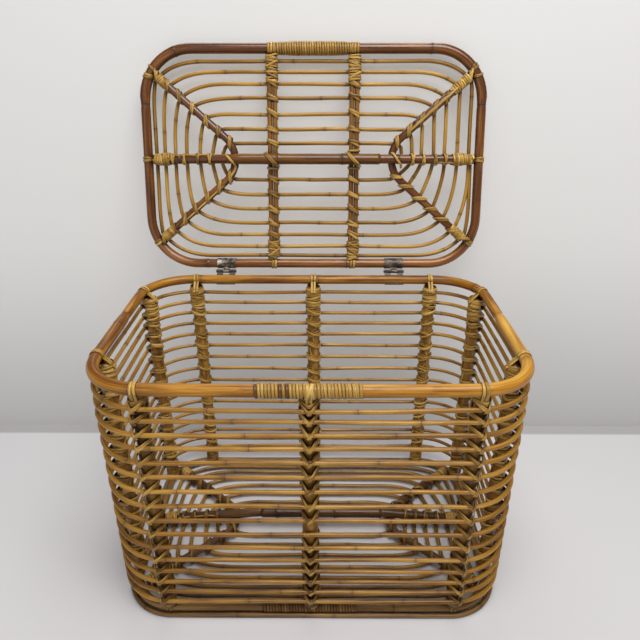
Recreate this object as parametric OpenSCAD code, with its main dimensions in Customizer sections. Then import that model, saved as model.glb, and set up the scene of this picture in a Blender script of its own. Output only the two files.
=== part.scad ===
// Rattan laundry hamper: an open cane basket with a hinged cane lid.
// Millimetres, +Z up, +Y to the back. The origin is the centre of the footprint, on the floor.
// The lid is drawn standing open on its two strap hinges.

/* [Basket] */
// Outside width of the basket rim
body_w = 580; // [480:10:680]
// Outside depth of the basket rim
body_d = 372; // [330:4:450]
// Height of the top of the rim
body_h = 404; // [340:4:500]
// Outside corner radius of the rim
corner_r = 84; // [66:2:110]

/* [Canes] */
// Diameter of the front cane of the rim
rim_front_d = 16.4; // [12:0.4:20]
// Diameter of the back cane of the rim
rim_back_d = 15.2; // [12:0.4:18]
// Place of the two rim splices behind the middle
rim_splice_y = 25; // [-40:5:60]
// Diameter of the wall rods
rod_d = 6.4; // [4.8:0.4:8]
// Distance from the top of the rim to the highest rod
rod_top_drop = 33.5; // [30:0.5:44]
// Height of the lowest rod
rod_bottom_z = 37; // [34:1:60]
// How much closer the rods lie near the rim and the base
rod_gather = 0.02; // [0:0.005:0.03]
// Set-in of the wall rods from the rim's outside
rod_inset = 1; // [0:0.5:3]
// Diameter of the upper, wrapped ring of the base
base_ring_d = 14; // [12:0.5:17]
// Diameter of the lowest ring, which stands on the floor
foot_ring_d = 8; // [7:0.5:10]
// Flat worn on the underside of the lowest ring
foot_flat = 0.4; // [0.2:0.1:1]

/* [Ribs] */
// Diameter of the upright ribs
rib_d = 20; // [16:0.5:23]
// Diameter of the middle ribs at the front and back
middle_rib_d = 22; // [18:0.5:25]
// How far the outer front ribs stand past the start of the corner bends
front_rib_out = 4; // [-30:1:6]
// How far the outer back ribs stand short of the corner bends
back_rib_short = 4; // [0:1:40]
// How far the front side ribs stand short of the corner bends
side_rib_short = 5; // [0:1:30]
// Turn of the back side ribs round the back corners, in degrees
corner_rib_turn = 15; // [8:1:16]

/* [Lashings] */
// Width of a lashing strand
strand_w = 3.6; // [2.8:0.2:4.6]
// Thickness of a lashing strand
strand_t = 1.4; // [1:0.1:1.8]
// Clearance between a lashing and the canes
strand_gap = 0.3; // [0.2:0.05:0.4]
// Tilt of the wall lashings, in degrees
wall_tilt = 27; // [24:1:30]
// Tilt of the panel lashings, in degrees
panel_tilt = 36; // [32:1:40]
// Tilt of the strands across the middle bars, in degrees
bar_tilt = 55; // [53:1:60]
// Length of the wrapped grip on the front of the rim
rim_grip_len = 129; // [80:1:160]
// Length of the wrapping on the front of the base ring
base_wrap_len = 137; // [80:1:160]
// Thickness of the wrappings
wrap_t = 1.9; // [1.2:0.1:2.4]
// Width of the strands looped over the rim and the frame
loop_strand_w = 8; // [5:0.5:10]

/* [Lid] */
// How much smaller the lid is than the rim, on each side
lid_inset = 1; // [0:0.5:3]
// Outside corner radius of the lid
lid_corner_r = 88; // [74:2:100]
// Diameter of the front cane of the lid frame
lid_front_d = 17; // [15:0.4:19]
// Diameter of the back cane of the lid frame
lid_back_d = 15.6; // [14:0.4:17]
// Distance of the frame splices behind the front corner bends
lid_splice = 6; // [4:1:40]
// Diameter of the loop rods in the lid and the base
loop_d = 6.6; // [5:0.2:7.4]
// Height of the smallest loop
loop_core = 59; // [50:1:70]
// Difference between width and height of the smallest loop
loop_core_extra = 235; // [200:5:240]
// Room between the frame and the largest loop
loop_margin = 7; // [5:0.5:12]
// Diameter of each cane of the lid's cross ribs
lid_rib_d = 8.6; // [7:0.2:9.4]
// Distance of the lid's cross ribs from the middle
lid_rib_x = 68.5; // [45:0.5:90]
// Length of the wrapped grip on the lid's front edge
lid_grip_len = 124; // [80:1:126]
// Thickness of that grip's wrapping at its middle
lid_grip_t = 2.8; // [2:0.1:3.4]

/* [V bars and middle bars] */
// Diameter of the V bars
v_bar_d = 13; // [10:0.5:14]
// Distance of the V bars' noses from the middle
v_nose_x = 132; // [120:1:140]
// Radius of the V bars' noses
v_nose_r = 47; // [40:1:52]
// Place round the corner bend that a V bar's arm aims at, in degrees
v_aim = 32; // [28:1:36]
// Diameter of the thick middle bar
bar_d = 18; // [15:0.5:20]
// Diameter of the bars at its two ends
end_bar_d = 15.5; // [12:0.5:16]
// Gap between the lid's thick bar and the left V bar
lid_bar_left_gap = 3.5; // [2:0.5:20]
// Gap between the lid's thick bar and the right V bar
lid_bar_right_gap = 14.5; // [2:0.5:20]
// Gap between the base's thick bar and the left V bar
base_bar_left_gap = 35.5; // [2:0.5:38]
// Gap between the base's thick bar and the right V bar
base_bar_right_gap = 8.5; // [2:0.5:38]
// Diameter of the base's cross rib
base_rib_d = 14; // [10:0.5:16]

/* [Hinges] */
// Distance of the left hinge from the middle
hinge_left_x = 152; // [120:1:176]
// Distance of the right hinge from the middle
hinge_right_x = 140; // [120:1:176]
// Width of a hinge
hinge_w = 32; // [26:1:40]
// Thickness of the hinge straps
strap_t = 1.2; // [0.8:0.1:1.5]
// Diameter of the hinge pins
pin_d = 3; // [2.4:0.1:3.4]
// Outside diameter of the hinge knuckles
knuckle_d = 6.4; // [5.8:0.1:7]
// Space between the two wrapped grips when the lid is shut
grip_space = 0.6; // [0.4:0.1:3]
// Lean of the open lid behind the upright, in degrees
lid_lean = 14; // [5:1:20]

/* [Hidden] */
$fn = 48;
rod_count = 16;         // wall rods
fit = 0.2;              // canes that cross lie this far apart
bend_thin = 0.2;        // a cane is this much thinner in its bends
lap = 0.5;              // a cane's straight lengths reach this far into its bends
bore_fit = 0.05;        // radial clearance of a hinge pin
strap_fit = 0.15;       // clearance of a strap round its cane
side_fit = 0.3;         // side clearance of the knuckles
loop_count = 7;         // loop rods in the lid, and in the base
turn_fn = 96;           // fineness of a cane's bends
cane = "peru";
dark_cane = "saddlebrown";
straw = "burlywood";
tin = "silver";

half_w = body_w / 2;
half_d = body_d / 2;
bend_x = half_w - corner_r;                 // start of the corner bends along the front
bend_y = half_d - corner_r;                 // and along the sides
rim_r = max(rim_front_d, rim_back_d) / 2;
rim_z = body_h - rim_r;
rod_r = rod_d / 2;
rib_r = rib_d / 2;
middle_rib_r = middle_rib_d / 2;
loop_r = loop_d / 2;
v_r = v_bar_d / 2;
bar_r = bar_d / 2;
end_r = end_bar_d / 2;
lid_r = max(lid_front_d, lid_back_d) / 2;
base_r = base_ring_d / 2;
foot_r = foot_ring_d / 2;
lash = 2 * strand_gap + strand_t;           // room for a lashing between two canes
rod_in = rod_inset + rod_r;                 // rod axis, in from the rim's outside

// distance of a rib's axis from the rim's outside
function rib_in(r) = rod_in + rod_r + fit + r;

// The wrapped base ring lies under the ribs; the foot ring leans on it, outside and below.
base_ring_z = foot_r + 5.5;
foot_out = sqrt(pow(base_r + foot_r + fit, 2) - pow(base_ring_z - foot_r, 2));
foot_in = rib_in(rib_r) - foot_out;
rib_bottom = base_ring_z + base_r + lash;
rib_top = rim_z - rim_r - lash;
collar_top = rim_z - rim_r - wrap_t - 1.5 * strand_gap;   // clear of the rim's wrapped grip

// Panels: the lid's and the base's. Each is [half width, half depth, corner radius, cane radius] of its
// frame's axis, and a stack of heights from the loops to the middle bar, all from the frame's axis.
lid_frame = [half_w - lid_inset - lid_r, half_d - lid_inset - lid_r, lid_corner_r - lid_r, lid_r];
base_frame = [half_w - rib_in(rib_r), half_d - rib_in(rib_r), corner_r - rib_in(rib_r), base_r];
lid_loop_h = loop_r - lid_r;
base_loop_h = loop_r + fit - base_r + 1.5;
lid_rib_h = lid_loop_h + loop_r + fit + lid_rib_d / 2;
base_rib_h = base_loop_h + loop_r + fit + base_rib_d / 2;
lid_v_h = lid_loop_h + loop_r + fit + v_r;
base_v_h = base_loop_h + loop_r + fit + v_r;
lid_bar_h = lid_rib_h + lid_rib_d / 2 + fit + bar_r;
base_bar_h = base_rib_h + base_rib_d / 2 + fit + bar_r;
nose_x = v_nose_x + v_nose_r;               // centre of a V bar's nose

// The hinge line lies behind the rim, half way up the gap below the closed lid.
lid_gap = grip_space + wrap_t + lid_grip_t + strand_gap;
hinge_y = half_d + knuckle_d / 2;
hinge_z = body_h + lid_gap / 2;
hinge_back = hinge_y - half_d + lid_inset + lid_r;   // from the lid's back cane to the hinge line
lid_rise = body_h + lid_gap + lid_r - hinge_z;       // from the hinge line to the closed lid's axis

// ---- cane shapes ----
// a bend of cane in the plane z = 0 round the origin, from angle a0 over angle da
module bend(r, d, a0, da)
    rotate([0, 0, a0]) rotate_extrude(angle = da, $fn = turn_fn)
        translate([r, 0]) circle(d = d - bend_thin, $fn = 32);

// a straight cane in the plane z = 0 from p to q, and a little farther into the bends at its ends
module straight(p, q, d)
    translate(p) rotate([0, 0, atan2(q[1] - p[1], q[0] - p[0])]) rotate([0, 90, 0])
        translate([0, 0, -lap]) cylinder(d = d, h = norm(q - p) + 2 * lap, $fn = 32);

// a closed loop of cane with axis half sizes hx and hy and corner radius r
module cane_loop(hx, hy, r, d) {
    cx = hx - r;
    cy = hy - r;
    for (k = [0:3])
        translate([k == 0 || k == 3 ? cx : -cx, k < 2 ? cy : -cy, 0]) bend(r, d, 90 * k, 90);
    for (s = [-1, 1]) {
        straight([-cx, s * hy, 0], [cx, s * hy, 0], d);
        straight([s * hx, -cy, 0], [s * hx, cy, 0], d);
    }
}

// the part of such a loop on the side s (1 = back, -1 = front) of the line y = y0
module cane_u(hx, hy, r, d, y0, s) {
    for (k = [-1, 1]) {
        translate([k * (hx - r), s * (hy - r), 0])
            bend(r, d, k * s > 0 ? (s > 0 ? 0 : 180) : (s > 0 ? 90 : 270), 90);
        straight([k * hx, y0 + s * (lap + fit / 2), 0], [k * hx, s * (hy - r), 0], d);
    }
    straight([r - hx, s * hy, 0], [hx - r, s * hy, 0], d);
}

// a wrapping round a straight cane along x
module wrapping(len, r, t)
    translate([-len / 2, 0, 0]) rotate([0, 90, 0]) difference() {
        cylinder(r = r + t, h = len);
        translate([0, 0, -1]) cylinder(r = r, h = len + 2);
    }

// ---- rim, rods and base rings ----
module top_rim_front()
    color(cane) translate([0, 0, rim_z])
        cane_u(half_w - rim_r, half_d - rim_r, corner_r - rim_r, rim_front_d, rim_splice_y, -1);

module top_rim_back()
    color(cane) translate([0, 0, rim_z])
        cane_u(half_w - rim_r, half_d - rim_r, corner_r - rim_r, rim_back_d, rim_splice_y, 1);

function rod_step(k) = let(t = (k - 1) / (rod_count - 1)) t - rod_gather * sin(360 * t);
function rod_z(k) = let(top = body_h - rod_top_drop) top - (top - rod_bottom_z) * rod_step(k);

module wall_rod(k)
    color(cane) translate([0, 0, rod_z(k)])
        cane_loop(half_w - rod_in, half_d - rod_in, corner_r - rod_in, rod_d);

module base_ring()
    color(dark_cane) translate([0, 0, base_ring_z])
        cane_loop(base_frame[0], base_frame[1], base_frame[2], base_ring_d);

module foot_ring()
    color(cane) difference() {
        translate([0, 0, foot_r - foot_flat])
            cane_loop(half_w - foot_in, half_d - foot_in, corner_r - foot_in, foot_ring_d);
        translate([-body_w, -body_d, -foot_ring_d]) cube([2 * body_w, 2 * body_d, foot_ring_d]);
    }

// ---- upright ribs ----
// Each rib is [x, y, facing, radius]; facing is the direction of the wall's outside.
function side_rib(sx, y) = [sx * (half_w - rib_in(rib_r)), y, sx > 0 ? 0 : 180, rib_r];
function long_rib(x, sy, r) = [x, sy * (half_d - rib_in(r)), 90 * sy, r];
function corner_rib(sx) = let(a = sx > 0 ? corner_rib_turn : 180 - corner_rib_turn)
    let(q = corner_r - rib_in(rib_r)) [sx * bend_x + q * cos(a), bend_y + q * sin(a), a, rib_r];

front_x = bend_x + front_rib_out;
back_x = bend_x - back_rib_short;
side_y = bend_y - side_rib_short;
front_ribs = [long_rib(-front_x, -1, rib_r), long_rib(0, -1, middle_rib_r), long_rib(front_x, -1, rib_r)];
back_ribs = [long_rib(-back_x, 1, rib_r), long_rib(0, 1, middle_rib_r), long_rib(back_x, 1, rib_r)];
left_ribs = [side_rib(-1, -side_y), corner_rib(-1)];
right_ribs = [side_rib(1, -side_y), corner_rib(1)];

module rib(p)
    color(dark_cane) translate([p[0], p[1], rib_bottom]) cylinder(r = p[3], h = rib_top - rib_bottom);

// ---- lashings ----
// A strand round a member: x0 and x1 are its inner limits along x, w half its inner width along y, and c
// the cut of its two corners at x0.
function band_outline(x0, x1, w, c) = [[x0, c - w], [x0 + c, -w], [x1, -w], [x1, w], [x0 + c, w], [x0, w - c]];
module band(x0, x1, w, c)
    translate([0, 0, -strand_w / 2]) linear_extrude(strand_w) difference() {
        polygon(band_outline(x0 - strand_t, x1 + strand_t, w + strand_t, c + strand_t * (2 - sqrt(2))));
        polygon(band_outline(x0, x1, w, c));
    }
// half width that a band tilted by t needs to clear a member of half width w
function tilted_half(w, t) = (w + strand_w / 2 * sin(t)) / cos(t) + strand_gap;

// all the lashings of one rib: a tilted strand at each rod, a collar and a strand over the rim at the top,
// and a collar and a strand over the base ring at the bottom
module rib_lashings(p)
    color(straw) translate([p[0], p[1], 0]) rotate([0, 0, p[2]]) {
        r = p[3];
        for (k = [1:rod_count]) translate([0, 0, rod_z(k)]) rotate([k % 2 == 0 ? wall_tilt : -wall_tilt, 0, 0])
            band(-r - strand_gap, r + fit + rod_d + strand_gap, tilted_half(r, wall_tilt), 0.6 * r);
        reach = tilted_half(r, wall_tilt) * sin(wall_tilt) + strand_w + strand_t;
        collar(r, rod_z(1) + reach, collar_top);
        collar(r, rib_bottom - strand_gap, rod_z(rod_count) - reach);
        translate([rib_in(r) - rim_r, 0, rim_z]) rotate([90, 0, 0])
            hoop(rim_r + strand_gap, loop_strand_w);
        translate([rib_in(r) - rib_in(rib_r), 0, base_ring_z]) difference() {
            rotate([90, 0, 0]) hoop(base_r + strand_gap, loop_strand_w);
            translate([-body_h, -body_h, -2 * body_h - strand_gap]) cube(2 * body_h);
        }
    }

module collar(r, z0, z1)
    translate([0, 0, z0]) difference() {
        cylinder(r = r + strand_gap + wrap_t, h = z1 - z0);
        translate([0, 0, -1]) cylinder(r = r + strand_gap, h = z1 - z0 + 2);
    }

module hoop(r, w)
    translate([0, 0, -w / 2]) difference() {
        cylinder(r = r + strand_t, h = w);
        translate([0, 0, -1]) cylinder(r = r, h = w + 2);
    }

module wall_lashings(ribs)
    for (p = ribs) rib_lashings(p);

// the wrappings leave room at x = 0 for the strand that holds the middle rib
strand_room = loop_strand_w / 2 + strand_gap;
module rim_grip_wrap()
    color(straw) translate([0, rim_r - half_d, rim_z]) difference() {
        wrapping(rim_grip_len, rim_front_d / 2 + strand_gap / 2, wrap_t);
        translate([-strand_room, -rim_front_d, -rim_front_d])
            cube([2 * strand_room, 2 * rim_front_d, 2 * rim_front_d]);
    }

module base_ring_wrap()
    color(straw) translate([0, -base_frame[1], base_ring_z]) difference() {
        wrapping(base_wrap_len, base_r + strand_gap / 2, strand_t);
        translate([-base_wrap_len, -base_ring_d, -base_ring_d - strand_gap])
            cube([2 * base_wrap_len, 2 * base_ring_d, base_ring_d]);
        translate([-strand_room, -base_ring_d, -base_ring_d])
            cube([2 * strand_room, 2 * base_ring_d, 2 * base_ring_d]);
    }

// ---- the panels of the lid and the base ----
// Heights run from the frame's axis towards the middle bar, in the direction up (1) or down (-1).
function share(k) = (k - 1) / (loop_count - 1);
function loop_hx(f, k) = let(a = f[0] - f[3] - loop_margin - loop_r, b = (loop_core + loop_core_extra) / 2)
    a + (b - a) * share(k);
function loop_hy(f, k) = let(a = f[1] - f[3] - loop_margin - loop_r, b = loop_core / 2) a + (b - a) * share(k);
function loop_turn(f, k) = let(a = f[2] - f[3], b = 50) min(loop_hy(f, k) - 1, a + (b - a) * share(k));

module panel_loops(f, h)
    color(cane) for (k = [1:loop_count]) translate([0, 0, h])
        cane_loop(loop_hx(f, k), loop_hy(f, k), loop_turn(f, k), loop_d);

// A V bar's arm leaves its nose along a tangent and ends at the frame's corner bend, where its slanted end
// stays clear of the strand round the frame.
function arm_reach(f) = let(r = f[2] - f[3] - lash)
    [f[0] - f[2] + r * cos(v_aim) - nose_x, f[1] - f[2] + r * sin(v_aim)];
function arm_turn(f) = let(d = arm_reach(f)) atan2(d[1], d[0]) - asin(v_nose_r / norm(d));
function arm_len(f) = let(d = arm_reach(f)) sqrt(d * d - v_nose_r * v_nose_r)
    - v_r * abs(sin(arm_turn(f) - v_aim)) - strand_gap;
// how far along its arm a V bar crosses the loop k: on the loop's long side, its end or its corner
function arm_cross(f, k) =
    let(a = arm_turn(f), u = [cos(a), sin(a)], p = [nose_x, 0] + v_nose_r * [-u[1], u[0]], r = loop_turn(f, k))
    let(long = (loop_hy(f, k) - p[1]) / u[1], end = (loop_hx(f, k) - p[0]) / u[0])
    let(m = [loop_hx(f, k) - r, loop_hy(f, k) - r] - p, along = m * u)
    p[0] + long * u[0] <= loop_hx(f, k) - r ? long :
    p[1] + end * u[1] <= loop_hy(f, k) - r ? end :
    along + sqrt(max(0, r * r - (m * m - along * along)));
// the angle there between the arm and the loop
function cross_angle(f, k) =
    let(a = arm_turn(f), u = [cos(a), sin(a)], r = loop_turn(f, k))
    let(p = [nose_x, 0] + v_nose_r * [-u[1], u[0]] + arm_cross(f, k) * u)
    let(q = p - [loop_hx(f, k) - r, loop_hy(f, k) - r])
    (q[0] <= 0 ? 180 : q[1] <= 0 ? 90 : 90 + atan2(q[1], q[0])) - a;

module along_arm(f, place)
    translate([nose_x, 0, 0]) rotate([0, 0, arm_turn(f)]) translate([place, v_nose_r, 0]) children();

module v_bar(f, h, sx)
    color(dark_cane) translate([0, 0, h]) mirror([sx > 0 ? 0 : 1, 0, 0]) {
        translate([nose_x, 0, 0]) bend(v_nose_r, v_bar_d, 90 + arm_turn(f), 180 - 2 * arm_turn(f));
        for (s = [0, 1]) mirror([0, s, 0]) along_arm(f, -lap) rotate([0, 90, 0])
            cylinder(r = v_r, h = arm_len(f) + lap, $fn = 32);
    }

module middle_bar(h, ends)
    color(dark_cane) translate([-ends[0], 0, h]) rotate([0, 90, 0]) cylinder(r = bar_r, h = ends[0] + ends[1]);

// The end bars slope from the frame, over the loops and the V bars' noses, to the ends of the middle bar.
function end_bar_x(f) = f[0] - f[3] - lash;
function end_bar_slope(f) = (v_bar_d + fit) / (end_bar_x(f) - v_nose_x - v_r);
function end_bar_h(f, v_h, x) = v_h - v_r + end_r * 1.01 + end_bar_slope(f) * (end_bar_x(f) - x);

module end_bars(f, v_h, ends)
    color(dark_cane) for (s = [0, 1]) mirror([1 - s, 0, 0]) {
        run = end_bar_x(f) - ends[s] - 1;
        slope = atan(end_bar_slope(f));
        translate([end_bar_x(f), 0, end_bar_h(f, v_h, end_bar_x(f))]) rotate([0, slope - 90, 0])
            cylinder(r = end_r, h = run / cos(slope));
    }

// a strand across a member along y of half width w, between heights h0 and h1, tilted by t
module cross_strand(w, h0, h1, t)
    rotate([0, 0, t]) rotate([90, 0, 0]) rotate([0, 0, 90])
        band(h0 - strand_gap, h1 + strand_gap, tilted_half(w, abs(t)), 0);

// the lashings of the V bars with the loops, mirrored to both arms and both sides
module v_lashings(f, loop_h, v_h)
    for (sx = [0, 1], sy = [0, 1]) mirror([sx, 0, 0]) mirror([0, sy, 0]) {
        for (k = [1:loop_count - 1]) along_arm(f, arm_cross(f, k)) rotate([0, 0, 90])
            cross_strand(v_r, loop_h - loop_r, v_h + v_r, cross_angle(f, k) > 90 ? -panel_tilt : panel_tilt);
        // where the smallest loop's round end meets the nose
        d = nose_x - loop_core_extra / 2;
        turn = acos((d * d + v_nose_r * v_nose_r - pow(loop_core / 2, 2)) / (2 * d * v_nose_r));
        translate([nose_x, 0, 0]) rotate([0, 0, 180 - turn]) translate([v_nose_r, 0, 0])
            cross_strand(v_r + 2 * strand_gap, loop_h - loop_r, v_h + v_r, panel_tilt);
    }

// the lashings of the end bars with the loops' ends
module end_bar_lashings(f, loop_h, v_h)
    for (sx = [0, 1], k = [1:loop_count - 2]) mirror([sx, 0, 0]) translate([loop_hx(f, k), 0, 0])
        rotate([0, 0, 90])
            cross_strand(end_r, loop_h - loop_r, end_bar_h(f, v_h, loop_hx(f, k) - end_r) + end_r, panel_tilt);

// the strands over the frame that hold the V bars and the end bars; back_r is the radius of its back bends
module frame_holds(f, back_r)
    for (sx = [0, 1]) mirror([sx, 0, 0]) {
        translate([f[0], 0, 0]) rotate([90, 0, 0]) hoop(f[3] + strand_gap, loop_strand_w);
        for (sy = [0, 1]) mirror([0, sy, 0]) {
            corner = [f[0] - f[2], f[1] - f[2]];
            hold = loop_strand_w / f[2] * 90 / PI;
            cane_r = sy == 0 ? back_r : f[3];
            translate([corner[0], corner[1], 0]) rotate([0, 0, v_aim - hold])
                rotate_extrude(angle = 2 * hold, $fn = turn_fn) translate([f[2], 0]) difference() {
                    circle(r = cane_r + strand_gap + strand_t);
                    circle(r = cane_r + strand_gap);
                }
        }
    }

// a strand across the middle bar and the rib of half width w that it crosses
module bar_strand(w, rib_h, bar_h)
    cross_strand(w, rib_h, bar_h + bar_r, bar_tilt);

// ---- base panel ----
module on_base() translate([0, 0, base_ring_z]) children();

module base_loops() on_base() panel_loops(base_frame, base_loop_h);
module base_v_bar(sx) on_base() v_bar(base_frame, base_v_h, sx);
nose_front = v_nose_x - v_r;
base_bar_ends = [nose_front - base_bar_left_gap, nose_front - base_bar_right_gap];
module base_middle_bar() on_base() middle_bar(base_bar_h, base_bar_ends);
module base_end_bars() on_base() end_bars(base_frame, base_v_h, base_bar_ends);

base_rib_end = half_d - rib_in(middle_rib_r) - middle_rib_r - 2 * strand_gap - wrap_t;
module base_cross_rib()
    color(dark_cane) on_base() translate([0, base_rib_end, base_rib_h]) rotate([90, 0, 0])
        cylinder(d = base_rib_d, h = 2 * base_rib_end);

module base_lashings()
    color(straw) on_base() {
        v_lashings(base_frame, base_loop_h, base_v_h);
        end_bar_lashings(base_frame, base_loop_h, base_v_h);
        for (s = [-1, 1], k = [2:loop_count]) translate([0, s * loop_hy(base_frame, k), 0])
            cross_strand(base_rib_d / 2, base_loop_h - loop_r, base_rib_h + base_rib_d / 2, panel_tilt);
        bar_strand(base_rib_d / 2, base_rib_h - base_rib_d / 2, base_bar_h);
        difference() {
            frame_holds(base_frame, base_r);
            translate([-body_w, -body_d, -body_h - strand_gap]) cube([2 * body_w, 2 * body_d, body_h]);
        }
    }

// ---- lid, drawn shut in its own frame and then turned open about the hinge line ----
module on_lid()
    translate([0, hinge_y, hinge_z]) rotate([-90 - lid_lean, 0, 0])
        translate([0, -hinge_back - lid_frame[1], lid_rise]) children();
module under_lid() on_lid() mirror([0, 0, 1]) children();

lid_splice_y = lid_splice + lid_frame[2] - lid_frame[1];
module lid_frame_front()
    color(dark_cane) on_lid()
        cane_u(lid_frame[0], lid_frame[1], lid_frame[2], lid_front_d, lid_splice_y, -1);

module lid_frame_back()
    color(dark_cane) on_lid()
        cane_u(lid_frame[0], lid_frame[1], lid_frame[2], lid_back_d, lid_splice_y, 1);

module lid_loops() under_lid() panel_loops(lid_frame, lid_loop_h);
module lid_v_bar(sx) under_lid() v_bar(lid_frame, lid_v_h, sx);
lid_bar_ends = [nose_front - lid_bar_left_gap, nose_front - lid_bar_right_gap];
module lid_middle_bar() under_lid() middle_bar(lid_bar_h, lid_bar_ends);
module lid_end_bars() under_lid() end_bars(lid_frame, lid_v_h, lid_bar_ends);

lid_rib_end = lid_frame[1] - lid_r - lash;
module lid_cross_rib(sx)
    color(dark_cane) under_lid() for (s = [-1, 1])
        translate([sx * lid_rib_x + s * (lid_rib_d + fit) / 2, lid_rib_end, lid_rib_h]) rotate([90, 0, 0])
            cylinder(d = lid_rib_d, h = 2 * lid_rib_end);

module lid_lashings()
    color(straw) under_lid() {
        v_lashings(lid_frame, lid_loop_h, lid_v_h);
        end_bar_lashings(lid_frame, lid_loop_h, lid_v_h);
        frame_holds(lid_frame, lid_back_d / 2);
        for (sx = [-1, 1]) translate([sx * lid_rib_x, 0, 0]) {
            for (s = [-1, 1]) {
                // the first one leans away from the wrapped grip
                for (k = [1:loop_count]) translate([0, s * loop_hy(lid_frame, k), 0])
                    cross_strand(lid_rib_d + fit, lid_loop_h - loop_r, lid_rib_h + lid_rib_d / 2,
                                 k == 1 ? -sx * panel_tilt : panel_tilt);
                translate([0, s * lid_frame[1], 0]) rotate([0, 90, 0]) hoop(lid_r + strand_gap, loop_strand_w);
            }
            bar_strand(lid_rib_d + fit, lid_rib_h - lid_rib_d / 2, lid_bar_h);
        }
    }

// the grip on the lid's front cane, thickest at its middle
module lid_grip_wrap()
    color(straw) on_lid() translate([0, -lid_frame[1], 0]) rotate([0, 90, 0]) rotate_extrude() {
        r = lid_front_d / 2 + strand_gap / 2;
        end = lid_grip_len / 2;
        polygon([[r, -end], [r + lid_grip_t * 0.6, -end], [r + lid_grip_t, -end / 3],
                 [r + lid_grip_t, end / 3], [r + lid_grip_t * 0.6, end], [r, end]]);
    }

// ---- hinges ----
// A strap is a sheet band round a cane along x, with a web and knuckles on the hinge line, which lies at
// the distance reach from the cane's axis, along y. spans are the knuckles' ranges along x. A half strap
// leaves the cane's upper side bare.
module strap(cane_r, reach, spans, half) {
    pin_bore = pin_d / 2 + bore_fit;
    band_r = cane_r + strap_fit + strap_t;
    difference() {
        union() {
            difference() {
                x_cylinder(band_r, -hinge_w / 2, hinge_w / 2);
                if (half) translate([-hinge_w, -2 * band_r, strap_t * 0.8])
                    cube([2 * hinge_w, 4 * band_r, 2 * band_r]);
            }
            for (q = spans) {
                translate([q[0], cane_r + strap_fit, -strap_t * 0.8])
                    cube([q[1] - q[0], reach - pin_bore - cane_r - strap_fit, strap_t * 1.6]);
                translate([0, reach, 0]) x_cylinder(knuckle_d / 2, q[0], q[1]);
            }
        }
        x_cylinder(cane_r + strap_fit, -hinge_w, hinge_w);
        translate([0, reach, 0]) x_cylinder(pin_bore, -hinge_w, hinge_w);
    }
}
module x_cylinder(r, x0, x1)
    translate([x0, 0, 0]) rotate([0, 90, 0]) cylinder(r = r, h = x1 - x0);

hinge_third = hinge_w / 6;
outer_spans = [[-hinge_w / 2, -hinge_third - side_fit], [hinge_third + side_fit, hinge_w / 2]];
inner_span = [[-hinge_third, hinge_third]];
rim_arm = [hinge_y - (half_d - rim_r), hinge_z - rim_z];
lid_arm = [hinge_back, -lid_rise];

module hinge_strap_rim(x)
    color(tin) translate([x, half_d - rim_r, rim_z]) rotate([atan2(rim_arm[1], rim_arm[0]), 0, 0])
        strap(rim_back_d / 2, norm(rim_arm), outer_spans, true);

module hinge_strap_lid(x)
    color(tin) on_lid() translate([x, lid_frame[1], 0]) rotate([atan2(lid_arm[1], lid_arm[0]), 0, 0])
        strap(lid_back_d / 2, norm(lid_arm), inner_span, false);

module hinge_pin(x)
    color(tin) translate([x, hinge_y, hinge_z]) {
        x_cylinder(pin_d / 2, -hinge_w / 2 - side_fit, hinge_w / 2 + side_fit);
        for (s = [-1, 1]) translate([s * (hinge_w / 2 + side_fit + strap_t / 2), 0, 0])
            x_cylinder(pin_d * 0.8, -strap_t / 2, strap_t / 2);
    }

top_rim_front();
top_rim_back();
base_ring();
foot_ring();
wall_rod(1);  // wall_rod_01
wall_rod(2);  // wall_rod_02
wall_rod(3);  // wall_rod_03
wall_rod(4);  // wall_rod_04
wall_rod(5);  // wall_rod_05
wall_rod(6);  // wall_rod_06
wall_rod(7);  // wall_rod_07
wall_rod(8);  // wall_rod_08
wall_rod(9);  // wall_rod_09
wall_rod(10);  // wall_rod_10
wall_rod(11);  // wall_rod_11
wall_rod(12);  // wall_rod_12
wall_rod(13);  // wall_rod_13
wall_rod(14);  // wall_rod_14
wall_rod(15);  // wall_rod_15
wall_rod(16);  // wall_rod_16
rib(front_ribs[0]);  // rib_front_left
rib(front_ribs[1]);  // rib_front_middle
rib(front_ribs[2]);  // rib_front_right
rib(back_ribs[0]);  // rib_back_left
rib(back_ribs[1]);  // rib_back_middle
rib(back_ribs[2]);  // rib_back_right
rib(left_ribs[0]);  // rib_left_front
rib(left_ribs[1]);  // rib_left_back
rib(right_ribs[0]);  // rib_right_front
rib(right_ribs[1]);  // rib_right_back
wall_lashings(front_ribs);  // lashings_front
wall_lashings(back_ribs);  // lashings_back
wall_lashings(left_ribs);  // lashings_left
wall_lashings(right_ribs);  // lashings_right
rim_grip_wrap();
base_ring_wrap();
base_loops();
base_v_bar(-1);  // base_v_bar_left
base_v_bar(1);  // base_v_bar_right
base_cross_rib();
base_middle_bar();
base_end_bars();
base_lashings();
hinge_strap_rim(-hinge_left_x);  // hinge_strap_rim_left
hinge_strap_rim(hinge_right_x);  // hinge_strap_rim_right
hinge_pin(-hinge_left_x);  // hinge_pin_left
hinge_pin(hinge_right_x);  // hinge_pin_right
lid_frame_front();
lid_frame_back();
lid_loops();
lid_v_bar(-1);  // lid_v_bar_left
lid_v_bar(1);  // lid_v_bar_right
lid_cross_rib(-1);  // lid_cross_rib_left
lid_cross_rib(1);  // lid_cross_rib_right
lid_middle_bar();
lid_end_bars();
lid_lashings();
lid_grip_wrap();
hinge_strap_lid(-hinge_left_x);  // hinge_strap_lid_left
hinge_strap_lid(hinge_right_x);  // hinge_strap_lid_right
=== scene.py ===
import bisect
import math
import random
from collections import namedtuple
import bpy
from mathutils import Matrix, Vector


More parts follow.
